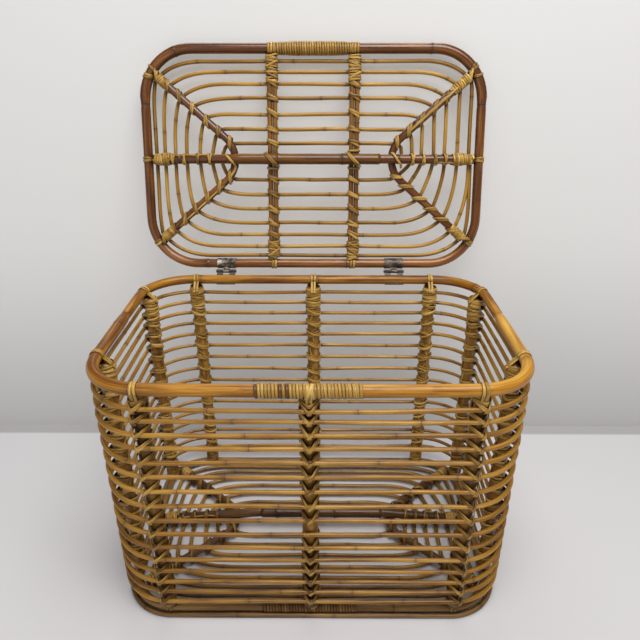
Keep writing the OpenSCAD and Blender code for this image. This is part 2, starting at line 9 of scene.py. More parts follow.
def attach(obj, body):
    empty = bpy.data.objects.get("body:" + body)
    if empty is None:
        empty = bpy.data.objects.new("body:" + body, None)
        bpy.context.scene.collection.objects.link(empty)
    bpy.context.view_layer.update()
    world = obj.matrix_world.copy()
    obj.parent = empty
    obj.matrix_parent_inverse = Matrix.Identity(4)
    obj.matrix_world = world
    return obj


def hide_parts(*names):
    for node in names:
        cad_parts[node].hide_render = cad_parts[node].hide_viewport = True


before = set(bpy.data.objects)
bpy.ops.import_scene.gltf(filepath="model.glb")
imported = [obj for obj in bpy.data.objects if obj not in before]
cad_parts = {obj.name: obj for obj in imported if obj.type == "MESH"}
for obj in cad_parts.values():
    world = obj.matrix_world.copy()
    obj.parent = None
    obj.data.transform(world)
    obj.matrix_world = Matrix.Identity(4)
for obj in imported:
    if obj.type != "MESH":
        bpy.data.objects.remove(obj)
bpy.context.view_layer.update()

# ---------------------------------------------------------------- camera
eye = bpy.data.cameras.new("eye")
eye.sensor_width = 36.0
eye.lens = 33.45
camera = bpy.data.objects.new("eye", eye)
bpy.context.scene.collection.objects.link(camera)
camera.location = (0.0164, -0.784, 0.7779)
camera.rotation_euler = (math.pi / 2 - 0.4461, 0.0, 0.005)
bpy.context.scene.camera = camera

# ---------------------------------------------------------------- sizes, in millimetres
MM = 0.001
HALF_W, HALF_D, TOP, CORNER = 290.0, 186.0, 404.0, 84.0
BEND_X, BEND_Y = HALF_W - CORNER, HALF_D - CORNER
RIM_R, RIM_BACK_R, RIM_HANG = 8.2, 7.6, 2.4
RIM_Z = TOP - RIM_R
SPLICE_Y = 25.0
ROD_R, ROD_IN, ROD_COUNT, ROD_HANG = 3.2, 4.2, 16, 4.2
ROD_TOP, ROD_SPAN = 370.5, 333.5
MISSING_LASHING = 10
RIB_R, MID_RIB_R = 10.0, 11.0
RIB_BOTTOM, RIB_TOP = 18.5, RIM_Z - RIM_R - 2.0
BASE_Z = 9.5
FOOT_R, FOOT_Z, FOOT_IN = 3.58, 3.75, 7.84
LID_LEAN, LID_BACK, LID_RISE, LID_BACK_R = 14.0, 12.7, 11.3, 7.8
HINGE_Y, HINGE_Z = 189.2, 406.8
Outline = namedtuple("Outline", "half_w half_d corner cane")
LID = Outline(280.5, 176.5, 79.5, 8.5)
BASE = Outline(272.4, 168.4, 66.4, 7.0)

# The panels: loop rods, V bars with round noses and arms that aim at the corners, a thick bar, end bars.
LOOP_R, V_NOSE, V_NOSE_R, V_R, BAR_R, END_R = 3.3, 132.0, 47.0, 6.5, 9.0, 7.75
NOSE_X = V_NOSE + V_NOSE_R
AIM = 32.0
# Where the loop rods lie on the lid: their long sides on the front half and on the hinge half, their ends at
# the left and on the right, and their turns under the V bars. On the right each turn steps out to the next.
FRONT_SIDES = (158, 141, 122, 100, 74, 50, 27)
HINGE_SIDES = (163, 147, 127, 106, 82, 58, 33)
LEFT_ENDS = (267, 252, 235, 216, 193, 173, 156)
RIGHT_ENDS = (265, 245, 223, 204, 184, 167, 150)
OUTER_END = 268.0
TURNS = (257, 241, 221, 202, 180, 159, 141)
LOOPS = len(TURNS)
UP = (0, 0, 1)


# ---------------------------------------------------------------- mesh building
class Mesh:
    """Gathers tubes and strands, in millimetres, and turns them into one object."""

    def __init__(self):
        self.verts, self.faces, self.cane, self.tone = [], [], [], []

    def add(self, rings, cane, tone, closed):
        """A skin over rings of points, with each point's place on its cane and its tone."""
        base, n, m = len(self.verts), len(rings[0]), len(rings)
        for ring in rings:
            self.verts.extend(ring)
        self.cane.extend(cane)
        self.tone.extend(tone)
        for i in range(m if closed else m - 1):
            a, b = base + i * n, base + ((i + 1) % m) * n
            for j in range(n):
                k = (j + 1) % n
                self.faces.append((a + j, a + k, b + k, b + j))
        if not closed:
            self.faces.append(tuple(base + j for j in reversed(range(n))))
            self.faces.append(tuple(base + (m - 1) * n + j for j in range(n)))

    def object(self, name, material, body, node, slot):
        """One object on a body, in the place of a node of the frame."""
        me = bpy.data.meshes.new(name)
        me.from_pydata([(v[0] * MM, v[1] * MM, v[2] * MM) for v in self.verts], [], self.faces)
        me.update()
        cane = me.attributes.new("cane", "FLOAT_VECTOR", "POINT")
        cane.data.foreach_set("vector", [c * MM for v in self.cane for c in v])
        tone = me.attributes.new("tone", "FLOAT_COLOR", "POINT")
        tone.data.foreach_set("color", [c for v in self.tone for c in v])
        me.shade_smooth()
        ob = bpy.data.objects.new(name, me)
        bpy.context.scene.collection.objects.link(ob)
        me.materials.append(material)
        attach(ob, body)
        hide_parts(node)


class Path:
    """A line through close points, read by its length."""

    def __init__(self, points, closed=False):
        self.p = [Vector(q) for q in points]
        self.closed = closed
        if closed:
            self.p.append(self.p[0].copy())
        self.cum = [0.0]
        for a, b in zip(self.p, self.p[1:]):
            self.cum.append(self.cum[-1] + (b - a).length)
        self.length = self.cum[-1]

    def point(self, s):
        if self.closed:
            s %= self.length
        s = min(max(s, 0.0), self.length)
        i = min(max(bisect.bisect_right(self.cum, s) - 1, 0), len(self.p) - 2)
        d = self.cum[i + 1] - self.cum[i]
        return self.p[i].lerp(self.p[i + 1], (s - self.cum[i]) / d if d else 0.0)

    def tangent(self, s, d=1.5):
        a, b = s - d, s + d
        if not self.closed:
            a, b = max(a, 0.0), min(b, self.length)
        return (self.point(b) - self.point(a)).normalized()

    def near(self, q):
        """The length at which the path passes closest to q."""
        q = Vector(q)
        i = min(range(len(self.p)), key=lambda k: (self.p[k] - q).length_squared)
        return self.cum[i]


def polar(degrees, r=1.0):
    a = math.radians(degrees)
    return r * math.cos(a), r * math.sin(a)


def placed(axes, origin):
    """The matrix of a frame with the given axes at an origin."""
    m = Matrix.Identity(4)
    for i in range(3):
        m[i][0], m[i][1], m[i][2], m[i][3] = axes[0][i], axes[1][i], axes[2][i], origin[i]
    return m


def waves(seed, count, low, high):
    """A smooth periodic wobble of the share 0..1, about -1..1."""
    rnd = random.Random(seed)
    parts = [(rnd.randint(low, high), rnd.uniform(0, 2 * math.pi), rnd.uniform(0.4, 1.0))
             for _ in range(count)]
    total = sum(p[2] for p in parts)
    return lambda t: sum(a * math.sin(2 * math.pi * f * t + ph) for f, ph, a in parts) / total


def arc(cx, cy, r, a0, a1, step=3.0):
    n = max(2, int(abs(math.radians(a1 - a0)) * r / step) + 1)
    turns = [polar(a0 + (a1 - a0) * i / n, r) for i in range(n + 1)]
    return [(cx + x, cy + y) for x, y in turns]


def line(p, q, step=6.0):
    n = max(1, int(math.dist(p, q) / step))
    return [(p[0] + (q[0] - p[0]) * i / n, p[1] + (q[1] - p[1]) * i / n) for i in range(n + 1)]


def spaced(points, gap=0.05):
    """The points without those that lie within gap of the last one kept."""
    out = [points[0]]
    for p in points[1:]:
        if math.dist(p, out[-1]) > gap:
            out.append(p)
    return out


def rounded(hx, hy, r):
    """A rounded rectangle from the middle of its front, counter-clockwise seen from above."""
    cx, cy = hx - r, hy - r
    pts = line((0, -hy), (cx, -hy)) + arc(cx, -cy, r, -90, 0) + line((hx, -cy), (hx, cy))
    pts += arc(cx, cy, r, 0, 90) + line((cx, hy), (-cx, hy)) + arc(-cx, cy, r, 90, 180)
    pts += line((-hx, cy), (-hx, -cy)) + arc(-cx, -cy, r, 180, 270) + line((-cx, -hy), (0, -hy))
    return spaced(pts)[:-1]


def half_rounded(hx, hy, r, y0, s):
    """The front (s -1) or back (s 1) part of a rounded rectangle, from the left side to the right at y0."""
    cx, cy = hx - r, hy - r
    turn = 180 - 90 * s
    pts = line((-hx, y0), (-hx, s * cy)) + arc(-cx, s * cy, r, 180, turn)
    pts += line((-cx, s * hy), (cx, s * hy)) + arc(cx, s * cy, r, 90 * s, 0) + line((hx, s * cy), (hx, y0))
    return spaced(pts)


def growth_rings(length, rnd, low, high):
    """Where along a cane its growth rings lie."""
    s = rnd.uniform(0.1, 0.9) * high
    out = []
    while s < length - 12:
        out.append(s)
        s += rnd.uniform(low, high)
    return out


def ring_marks(path, rings, step):
    """Where along a cane its cross sections lie: evenly, and close together at each growth ring."""
    length = path.length
    n = max(2, int(length / step))
    marks = {length * i / n for i in range(n if path.closed else n + 1)}
    for q in rings:
        for d in (-9, -5, -2.8, -1.5, -0.6, 0.0, 0.6, 1.5, 2.8, 5, 9):
            s = (q + d) % length if path.closed else q + d
            if 0 < s < length:
                marks.add(s)
    marks = sorted(marks)
    keep = [marks[0]]
    for s in marks[1:]:
        if s - keep[-1] > 0.3:
            keep.append(s)
    if not path.closed:
        keep[-1] = length
    elif length - keep[-1] < 0.3:
        keep.pop()
    return keep


def tube(mesh, path, radius, sides, up, seed, rings, step, shade, uneven=0.03, knot=0.07):
    """A cane along a path: its girth varies a little, and each growth ring is a low, dark ridge."""
    rnd = random.Random(seed)
    wave = waves(seed + 7, 5, 3, 14)
    length = path.length
    up = Vector(up).normalized()
    offset = rnd.uniform(0, 4000)
    hue = rnd.uniform(0, 1)
    out, cane, tone = [], [], []
    for s in ring_marks(path, rings, step):
        c, t = path.point(s), path.tangent(s)
        u = (up - t * up.dot(t)).normalized()
        if not path.closed:
            up = u
        v = t.cross(u)
        r = (radius(s) if callable(radius) else radius) * (1 + uneven * wave(s / length))
        dark = 0.0
        for q in rings:
            d = s - q
            if path.closed:
                d = (d + length / 2) % length - length / 2
            if abs(d) < 30:
                r *= 1 + knot * math.exp(-(d / 1.5) ** 2) + 0.4 * knot * math.exp(-(d / 7.0) ** 2)
                dark = max(dark, math.exp(-((d - 0.6) / 1.0) ** 2), 0.35 * math.exp(-(d / 6.0) ** 2))
        level = shade(s) if callable(shade) else shade
        ring = []
        for j in range(sides):
            a = 2 * math.pi * j / sides
            ring.append(c + (u * math.cos(a) + v * math.sin(a)) * r)
            cane.append((s + offset, r * math.cos(a), r * math.sin(a)))
            tone.append((dark, level, hue, 1.0))
        out.append(ring)
    mesh.add(out, cane, tone, path.closed)


def strand(mesh, points, normals, width, thick, seed, shade, closed=False):
    """A flat split-cane strand through points, its glossy domed side along the normals. The shade is one
    number, or one for each point."""
    rnd = random.Random(seed)
    offset = rnd.uniform(0, 4000)
    hue = rnd.uniform(0, 1)
    n = len(points)
    half = width / 2
    prof = [(-half, 0.0), (-half * 0.9, thick * 0.6), (-half * 0.45, thick * 0.95),
            (half * 0.45, thick * 0.95), (half * 0.9, thick * 0.6), (half, 0.0), (0.0, -0.1 * thick)]
    shades = shade if isinstance(shade, list) else [shade] * n
    out, cane, tone = [], [], []
    s = 0.0
    for i, p in enumerate(points):
        if closed:
            t = points[(i + 1) % n] - points[i - 1]
        else:
            t = points[min(i + 1, n - 1)] - points[max(i - 1, 0)]
        t.normalize()
        nr = (normals[i] - t * normals[i].dot(t)).normalized()
        side = t.cross(nr)
        if i:
            s += (p - points[i - 1]).length
        w = 1 + 0.06 * math.sin(s * 0.21 + offset)
        out.append([p + side * (a * w) + nr * b for a, b in prof])
        cane.extend((s + offset, a, b) for a, b in prof)
        tone.extend([(0.0, shades[i], hue, 1.0)] * len(prof))
    mesh.add(out, cane, tone, closed)


def smooth(points, closed, steps):
    """Catmull-Rom points through a few points."""
    n = len(points)
    at = lambda i: points[i % n] if closed else points[min(max(i, 0), n - 1)]
    out = []
    for i in range(n if closed else n - 1):
        p0, p1, p2, p3 = (at(i + d) for d in (-1, 0, 1, 2))
        for k in range(steps):
            t = k / steps
            out.append(0.5 * (2 * p1 + (p2 - p0) * t + (2 * p0 - 5 * p1 + 4 * p2 - p3) * t * t
                              + (3 * p1 - p0 - 3 * p2 + p3) * t ** 3))
    if not closed:
        out.append(points[-1].copy())
    return out


def coil(mesh, path, s0, s1, radius, pitch, width, thick, up, seed, shade, vary, phase=0.0, dark=()):
    """A strand wound round a path from s0 to s1, turn beside turn, and dark over the given stretches."""
    per_turn = 18
    rnd = random.Random(seed)
    turns = abs(s1 - s0) / pitch
    n = int(turns * per_turn) + 1
    up = Vector(up)
    pts, nrm, shades = [], [], []
    levels = [shade + rnd.uniform(-vary, vary) for _ in range(int(turns) + 3)]
    lifts = [rnd.uniform(0, 0.25) * thick for _ in range(int(turns) + 3)]
    for i in range(n):
        a = 2 * math.pi * i / per_turn + phase
        s = s0 + (s1 - s0) * i / max(n - 1, 1)
        c, t = path.point(s), path.tangent(s)
        u = (up - t * up.dot(t)).normalized()
        d = u * math.cos(a) + t.cross(u) * math.sin(a)
        r = radius(s) if callable(radius) else radius
        k, f = divmod(i, per_turn)
        f /= per_turn
        pts.append(c + d * (r + lifts[k] * (1 - f) + lifts[k + 1] * f))
        nrm.append(d)
        level = levels[k]
        if any(q0 <= s <= q1 for q0, q1 in dark):
            level = rnd.uniform(-0.12, 0.12) if f < 0.06 or not shades else shades[-1]
        shades.append(level)
    strand(mesh, pts, nrm, width, thick, seed, shades)


def oval_strand(mesh, place, half, bottom, top, corner, tilt, width, seed, shade, drift=0.0):
    """A strand round a member: in the frame place, half as wide as it across x, from bottom to top in height,
    and rising along y from one side to the other by tilt degrees."""
    c = min(corner, half * 0.98, (top - bottom) / 2 * 0.98)
    slope = math.tan(math.radians(tilt))
    shift = random.Random(seed).uniform(-drift, drift)
    pts, nrm = [], []
    for cx, cy, a0 in ((half - c, top - c, 0), (c - half, top - c, 90), (c - half, bottom + c, 180),
                       (half - c, bottom + c, 270)):
        for k in range(5):
            nx, nh = polar(a0 + 22.5 * k)
            x = cx + c * nx
            pts.append(place @ Vector((x, x * slope + shift, cy + c * nh)))
            nrm.append(place.to_3x3() @ Vector((nx, nx * slope * 0.2, nh)))
    strand(mesh, pts, nrm, width, 1.0, seed, shade, True)


# ---------------------------------------------------------------- materials
def feed(nt, n, values):
    """Set inputs of a node to numbers or colours, or link them to other nodes' outputs."""
    for key, value in values.items():
        sock = n.inputs[key]
        if isinstance(value, bpy.types.NodeSocket):
            nt.links.new(value, sock)
        else:
            sock.default_value = value + (1.0,) if sock.type == "RGBA" else value


def node(nt, kind, values={}, **settings):
    n = nt.nodes.new("ShaderNode" + kind)
    for key, value in settings.items():
        setattr(n, key, value)
    feed(nt, n, values)
    return n


def nodes_of(name):
    m = bpy.data.materials.new(name)
    m.use_nodes = True
    nt = m.node_tree
    nt.nodes.clear()
    bsdf = node(nt, "BsdfPrincipled")
    return m, nt, bsdf, node(nt, "OutputMaterial", {"Surface": bsdf.outputs["BSDF"]})


def ramp(nt, fac, stops):
    r = node(nt, "ValToRGB", {"Fac": fac})
    els = r.color_ramp.elements
    while len(els) > 1:
        els.remove(els[-1])
    els[0].position, els[0].color = stops[0][0], stops[0][1] + (1.0,)
    for pos, col in stops[1:]:
        els.new(pos).color = col + (1.0,)
    return r.outputs["Color"]


def math_node(nt, op, *values, clamp=False):
    return node(nt, "Math", dict(enumerate(values)), operation=op, use_clamp=clamp).outputs[0]


def mix(nt, fac, a, b):
    return node(nt, "Mix", {"Factor": fac, "A": a, "B": b}, data_type="RGBA").outputs["Result"]


def noise_of(nt, vector, stretch, detail, rough, dist=0.0):
    """Noise with a scale of its own along each axis."""
    to = node(nt, "Mapping", {"Vector": vector, "Scale": stretch}).outputs["Vector"]
    values = {"Vector": to, "Scale": 1.0, "Detail": detail, "Roughness": rough, "Distortion": dist}
    return node(nt, "TexNoise", values).outputs["Fac"]


def attribute(nt, name, output):
    return node(nt, "Attribute", attribute_type="GEOMETRY", attribute_name=name).outputs[output]


def bump(nt, height, strength, distance):
    return node(nt, "Bump", {"Strength": strength, "Distance": distance, "Height": height}).outputs["Normal"]


def cane_material(name, deep, mid, light, ring, rough, coat, streak, blotch, ridge=0.12, spread=0.35):
    """Varnished cane: long fibres, blotches, dark growth rings, painted shade where canes meet, and a glossy
    coat.
    """
    m, nt, bsdf, _ = nodes_of(name)

    def swing(value, by, level):
        return math_node(nt, "MULTIPLY_ADD", math_node(nt, "SUBTRACT", value, 0.5), by, level)

    cane = attribute(nt, "cane", "Vector")
    tone = node(nt, "SeparateColor", {"Color": attribute(nt, "tone", "Color")}).outputs
    fibre = noise_of(nt, cane, (14.0, 620.0, 620.0), 3.0, 0.6)
    wide = noise_of(nt, cane, (9.0, 90.0, 90.0), 2.0, 0.5)
    blot = noise_of(nt, cane, (28.0, 60.0, 60.0), 3.0, 0.6, 0.4)
    both = math_node(nt, "ADD", swing(fibre, streak, 0.5), swing(wide, blotch, 0.0))
    total = math_node(nt, "ADD", both, swing(tone["Green"], spread * 2, 0.0), clamp=True)
    col = ramp(nt, total, [(0.12, deep), (0.5, mid), (0.86, light)])
    spots = ramp(nt, blot, [(0.62, (0.0, 0.0, 0.0)), (0.78, (1.0, 1.0, 1.0))])
    col = mix(nt, math_node(nt, "MULTIPLY", spots, 0.55), col, deep)
    col = mix(nt, math_node(nt, "MULTIPLY", tone["Red"], 0.85, clamp=True), col, ring)
    # painted shade: ambient occlusion darkens the colour where canes lie close together
    near = node(nt, "AmbientOcclusion", {"Distance": 0.014}, samples=4).outputs["AO"]
    crevice_shade = ramp(nt, near, [(0.25, (0.88, 0.88, 0.88)), (0.9, (0.0, 0.0, 0.0))])
    feed(nt, bsdf, {"Base Color": mix(nt, crevice_shade, col, ring), "Coat Weight": coat, "Coat Roughness": 0.16,
                    "Roughness": math_node(nt, "MULTIPLY_ADD", blot, 0.22, rough - 0.1),
                    "Specular IOR Level": 0.25, "Normal": bump(nt, fibre, ridge, 0.0006)})
    return m


def tin_material(name, stops, metal):
    """Worn sheet metal: bright, dull and rusty patches with fine grime."""
    m, nt, bsdf, _ = nodes_of(name)
    co = node(nt, "TexCoord").outputs["Object"]
    grime = noise_of(nt, co, (260.0, 260.0, 260.0), 5.0, 0.65)
    patch = noise_of(nt, co, (90.0, 90.0, 90.0), 3.0, 0.5)
    total = math_node(nt, "MULTIPLY_ADD", patch, 0.6, math_node(nt, "MULTIPLY", grime, 0.5), clamp=True)
    feed(nt, bsdf, {"Base Color": ramp(nt, total, stops), "Metallic": metal,
                    "Roughness": math_node(nt, "MULTIPLY_ADD", grime, -0.35, 0.62),
                    "Normal": bump(nt, grime, 0.35, 0.0004)})
    return m


rod_mat = cane_material("golden_cane", (0.11, 0.04, 0.004), (0.38, 0.18, 0.018), (0.64, 0.37, 0.07),
                        (0.05, 0.018, 0.006), rough=0.36, coat=0.34, streak=0.9, blotch=0.9)
rim_mat = cane_material("rim_cane", (0.16, 0.05, 0.004), (0.46, 0.20, 0.016), (0.68, 0.38, 0.06),
                        (0.07, 0.024, 0.006), rough=0.34, coat=0.2, streak=0.9, blotch=1.2)
dark_mat = cane_material("brown_cane", (0.040, 0.012, 0.003), (0.13, 0.040, 0.006), (0.33, 0.125, 0.024),
                         (0.02, 0.008, 0.004), rough=0.26, coat=0.5, streak=0.9, blotch=1.1)
rib_mat = cane_material("rib_cane", (0.06, 0.02, 0.003), (0.21, 0.082, 0.009), (0.42, 0.20, 0.035),
                        (0.03, 0.012, 0.004), rough=0.3, coat=0.35, streak=0.6, blotch=0.9)
upright_mat = cane_material("upright_cane", (0.05, 0.018, 0.003), (0.27, 0.12, 0.012), (0.52, 0.27, 0.045),
                            (0.03, 0.012, 0.004), rough=0.36, coat=0.2, streak=0.7, blotch=1.3)
hoop_mat = cane_material("hoop_cane", (0.045, 0.019, 0.006), (0.23, 0.115, 0.027), (0.44, 0.25, 0.075),
                         (0.02, 0.009, 0.005), rough=0.34, coat=0.3, streak=0.8, blotch=1.0)
# a darker copy of the brown canes for the base panel: painted shade of the basket's inside
shaded_base_mat = cane_material("shaded_base_cane", (0.020, 0.008, 0.003), (0.085, 0.036, 0.009), (0.22, 0.105, 0.026),
                          (0.014, 0.006, 0.003), rough=0.36, coat=0.25, streak=0.9, blotch=1.2)
loop_mat = cane_material("loop_cane", (0.12, 0.05, 0.006), (0.40, 0.205, 0.026), (0.62, 0.38, 0.085),
                         (0.04, 0.018, 0.006), rough=0.36, coat=0.22, streak=0.7, blotch=0.9)
straw_mat = cane_material("split_cane", (0.10, 0.04, 0.005), (0.45, 0.25, 0.042), (0.74, 0.50, 0.15),
                          (0.06, 0.025, 0.008), rough=0.36, coat=0.2, streak=1.0, blotch=0.8, ridge=0.22,
                          spread=0.55)
grip_mat = cane_material("grip_cane", (0.12, 0.05, 0.007), (0.42, 0.235, 0.042), (0.66, 0.44, 0.13),
                         (0.06, 0.025, 0.008), rough=0.36, coat=0.25, streak=0.6, blotch=0.4, ridge=0.22,
                         spread=0.55)
tin_mat = tin_material("worn_tin", [(0.44, (0.03, 0.022, 0.016)), (0.54, (0.13, 0.095, 0.07)),
                                    (0.64, (0.50, 0.46, 0.41))], 0.55)
rust_mat = tin_material("rusty_tin", [(0.46, (0.015, 0.011, 0.009)), (0.58, (0.045, 0.031, 0.022)),
                                      (0.72, (0.11, 0.08, 0.055))], 0.1)
dull_mat = tin_material("dull_tin", [(0.46, (0.03, 0.021, 0.015)), (0.58, (0.10, 0.07, 0.05)),
                                     (0.72, (0.24, 0.18, 0.13))], 0.2)


# ---------------------------------------------------------------- wall rods and ribs
def rib_in(r):
    """How far inside the wall's outline the axis of a rib of radius r stands."""
    return ROD_IN + ROD_R + 0.2 + r


def corner_rib(sx):
    facing = 90 - 75 * sx
    dx, dy = polar(facing, CORNER - rib_in(RIB_R))
    return sx * BEND_X + dx, BEND_Y + dy, facing, RIB_R


# Each rib's place, the way it faces and its radius.
RIBS = {
    "rib_front_left": (-BEND_X - 4, -HALF_D + rib_in(RIB_R), -90, RIB_R),
    "rib_front_middle": (0, -HALF_D + rib_in(MID_RIB_R), -90, MID_RIB_R),
    "rib_front_right": (BEND_X + 4, -HALF_D + rib_in(RIB_R), -90, RIB_R),
    "rib_back_left": (-BEND_X + 4, HALF_D - rib_in(RIB_R), 90, RIB_R),
    "rib_back_middle": (0, HALF_D - rib_in(MID_RIB_R), 90, MID_RIB_R),
    "rib_back_right": (BEND_X - 4, HALF_D - rib_in(RIB_R), 90, RIB_R),
    "rib_left_front": (-HALF_W + rib_in(RIB_R), -BEND_Y + 5, 180, RIB_R),
    "rib_left_back": corner_rib(-1),
    "rib_right_front": (HALF_W - rib_in(RIB_R), -BEND_Y + 5, 0, RIB_R),
    "rib_right_back": corner_rib(1),
}
# The side to which the lashings of a rib near a corner point, in millimetres.
LEAN_TO = {"rib_front_left": -5.6, "rib_front_right": 5.6, "rib_left_front": 3.0, "rib_right_front": -3.0}


def droop(x, y, depth):
    """How far the front of the rim or of the first rod hangs below its line."""
    if y > -60:
        return 0.0
    share = max(0.0, 1 - (x / 235.0) ** 2)
    return -depth * share * min(1.0, (-y - 60) / 70.0)


wall_line = Path([(x, y, 0) for x, y in rounded(HALF_W - ROD_IN, HALF_D - ROD_IN, CORNER - ROD_IN)], True)
rod_waves = {k: waves(200 + k, 5, 2, 8) for k in range(1, ROD_COUNT + 1)}


def rod_height(k, share, x, y):
    """The height of rod k at a share of its length: the rods lie closer near the rim and near the base."""
    t = (k - 1) / (ROD_COUNT - 1)
    level = ROD_TOP - ROD_SPAN * (t - 0.02 * math.sin(2 * math.pi * t))
    return level + 1.3 * rod_waves[k](share) + (droop(x, y, ROD_HANG) if k == 1 else 0.0)


for k in range(1, ROD_COUNT + 1):
    rnd = random.Random(100 + k)
    sway = waves(300 + k, 5, 2, 9)
    pts = []
    for p, s in zip(wall_line.p[:-1], wall_line.cum):
        t, along = s / wall_line.length, wall_line.tangent(s)
        inward = 0.8 * (sway(t) + 1) / 2
        pts.append((p.x - along.y * inward, p.y + along.x * inward, rod_height(k, t, p.x, p.y)))
    path = Path(pts, True)
    r = ROD_R * rnd.uniform(0.94, 1.0)
    marks = growth_rings(path.length, rnd, 110, 230)
    mesh = Mesh()
    # painted shade: each rod lower down is a little darker, as less light reaches the lower wall
    tube(mesh, path, r, 12, UP, 400 + k, marks, 9.0, rnd.uniform(0.50, 0.66) - 0.016 * k)
    mesh.object("rod_%02d" % k, rod_mat, "basket", "wall_rod_%02d" % k, "golden_cane")


# ---------------------------------------------------------------- rim, base ring, foot ring and ribs
def spliced_cane(points, name, node, material, body, slot, r, seed, up, rings, reach, tip, shade, knot):
    """A cane whose ends are thinned for a splice."""
    path = Path(points)
    length = path.length
    marks = growth_rings(length, random.Random(seed), *rings) + [1.6, length - 1.6]

    def girth(q):
        return r * (tip + (1 - tip) * min(1.0, min(q, length - q) / reach))

    mesh = Mesh()
    tube(mesh, path, girth, 20, up, seed, marks, 7.0, lambda q: shade(path.point(q)), 0.02, knot)
    mesh.object(name, material, body, node, slot)


def rim_cane(name, node, r, s, seed, shade):
    flat = half_rounded(HALF_W - RIM_R, HALF_D - RIM_R, CORNER - RIM_R, SPLICE_Y - s * 5, s)
    spliced_cane([(x, y, RIM_Z + droop(x, y, RIM_HANG)) for x, y in flat], name, node, rim_mat, "basket",
                 "rim_cane", r, seed, UP, (190, 330), 16.0, 0.8, shade, 0.04)


def hoop(name, node, slot, outline, z, r, sides, rings, seed, shade):
    mesh = Mesh()
    path = Path([(x, y, z) for x, y in rounded(*outline)], True)
    marks = growth_rings(path.length, random.Random(seed), *rings)
    tube(mesh, path, r, sides, UP, seed, marks, 8.0, shade)
    mesh.object(name, hoop_mat, "basket", node, slot)


rim_cane("rim_front", "top_rim_front", RIM_R, -1, 31, lambda p: 0.37 + 0.0011 * p.x)
rim_cane("rim_back", "top_rim_back", RIM_BACK_R, 1, 37, lambda p: 0.31 - 0.0004 * abs(p.x))
hoop("base_hoop", "base_ring", "brown_cane", BASE[:3], BASE_Z, BASE.cane, 16, (180, 300), 41, 0.5)
hoop("foot_hoop", "foot_ring", "golden_cane", (HALF_W - FOOT_IN, HALF_D - FOOT_IN, CORNER - FOOT_IN), FOOT_Z,
     FOOT_R, 12, (140, 260), 43, 0.45)

for i, (name, (x, y, facing, r)) in enumerate(RIBS.items()):
    rnd = random.Random(500 + i)
    path = Path([(x, y, RIB_BOTTOM + (RIB_TOP - RIB_BOTTOM) * j / 60) for j in range(61)])
    mesh = Mesh()
    tube(mesh, path, r * 0.99, 20, (1, 0, 0), 510 + i, growth_rings(path.length, rnd, 120, 200), 6.0,
         rnd.uniform(0.4, 0.6), uneven=0.02, knot=0.04)
    mesh.object(name.replace("rib_", "upright_"), upright_mat, "basket", name, "brown_cane")


# ---------------------------------------------------------------- lashings of the wall
def wall_strand(mesh, place, points, width, thick, seed, shade):
    """A strand through (out, along, height) at a rib, its normals away from the rib's axis."""
    nrm = [place.to_3x3() @ Vector((p.x, p.y, 0)).normalized() for p in points]
    strand(mesh, [place @ p for p in points], nrm, width, thick, seed, shade)


def chevron(mesh, place, r, zk, rise, seed, shade, lean, point, width=4.4):
    """One turn of the wall lashing: its ends cross over the rod, rise to the rib's edges and go round its
    back. The crossing sits point towards one side."""
    rnd = random.Random(seed)
    d = 2 * ROD_R
    z = zk + rnd.uniform(-0.7, 0.7)
    c = point + rnd.uniform(-0.5, 0.5)
    half = []
    for side, lift in ((-1, 0.0), (1, 0.5)):
        edge = side * 1.04 * r
        half.append([
            (r + 0.6, c - side * 1.6, -4.4),
            (r + d * 0.66, c - side * 1.7, -4.2),
            (r + d + lift, c - side * 1.2, -2.4),
            (r + d + 0.2 + lift, c + side * 0.5, 0.2),
            (r + d * 0.84 + 0.8 + lift, c + (edge - c) * 0.34, 2.9),
            (0.82 * r + 2.8, c + (edge - c) * 0.68, 2.9 + (rise - 2.9) * 0.5),
            (0.36 * r, edge * 1.03, rise - 0.6),
            (-0.35 * r, side * 1.03 * r, rise + 0.6 + side * lean * 0.6),
            (-0.86 * r, side * 0.62 * r, rise + 1.0 + side * lean)])
    turn = half[0] + [(-1.06 * r, 0.0, rise + 1.2)] + half[1][::-1]
    pts = smooth([Vector((o, t, z + h)) for o, t, h in turn], False, 3)
    wall_strand(mesh, place, pts, width * rnd.uniform(0.92, 1.08), 1.0, seed, shade)


def inner_band(mesh, place, r, z, tilt, width, seed, shade, lift):
    """A strand over the inner half of a rib."""
    pts = []
    for g in range(76, 285, 16):
        o, t = polar(g, r + 0.3 + lift)
        pts.append(Vector((o, t, z + t * math.tan(math.radians(tilt)))))
    wall_strand(mesh, place, pts, width, 1.1, seed, shade)


def rib_coil(mesh, place, r, low, high, pitch, width, thick, seed, shade, vary):
    axis = Path([place @ Vector((0, 0, low)), place @ Vector((0, 0, high))])
    coil(mesh, axis, 0, axis.length, r + 0.25, pitch, width, thick, place.to_3x3() @ Vector((1, 0, 0)), seed,
         shade, vary)


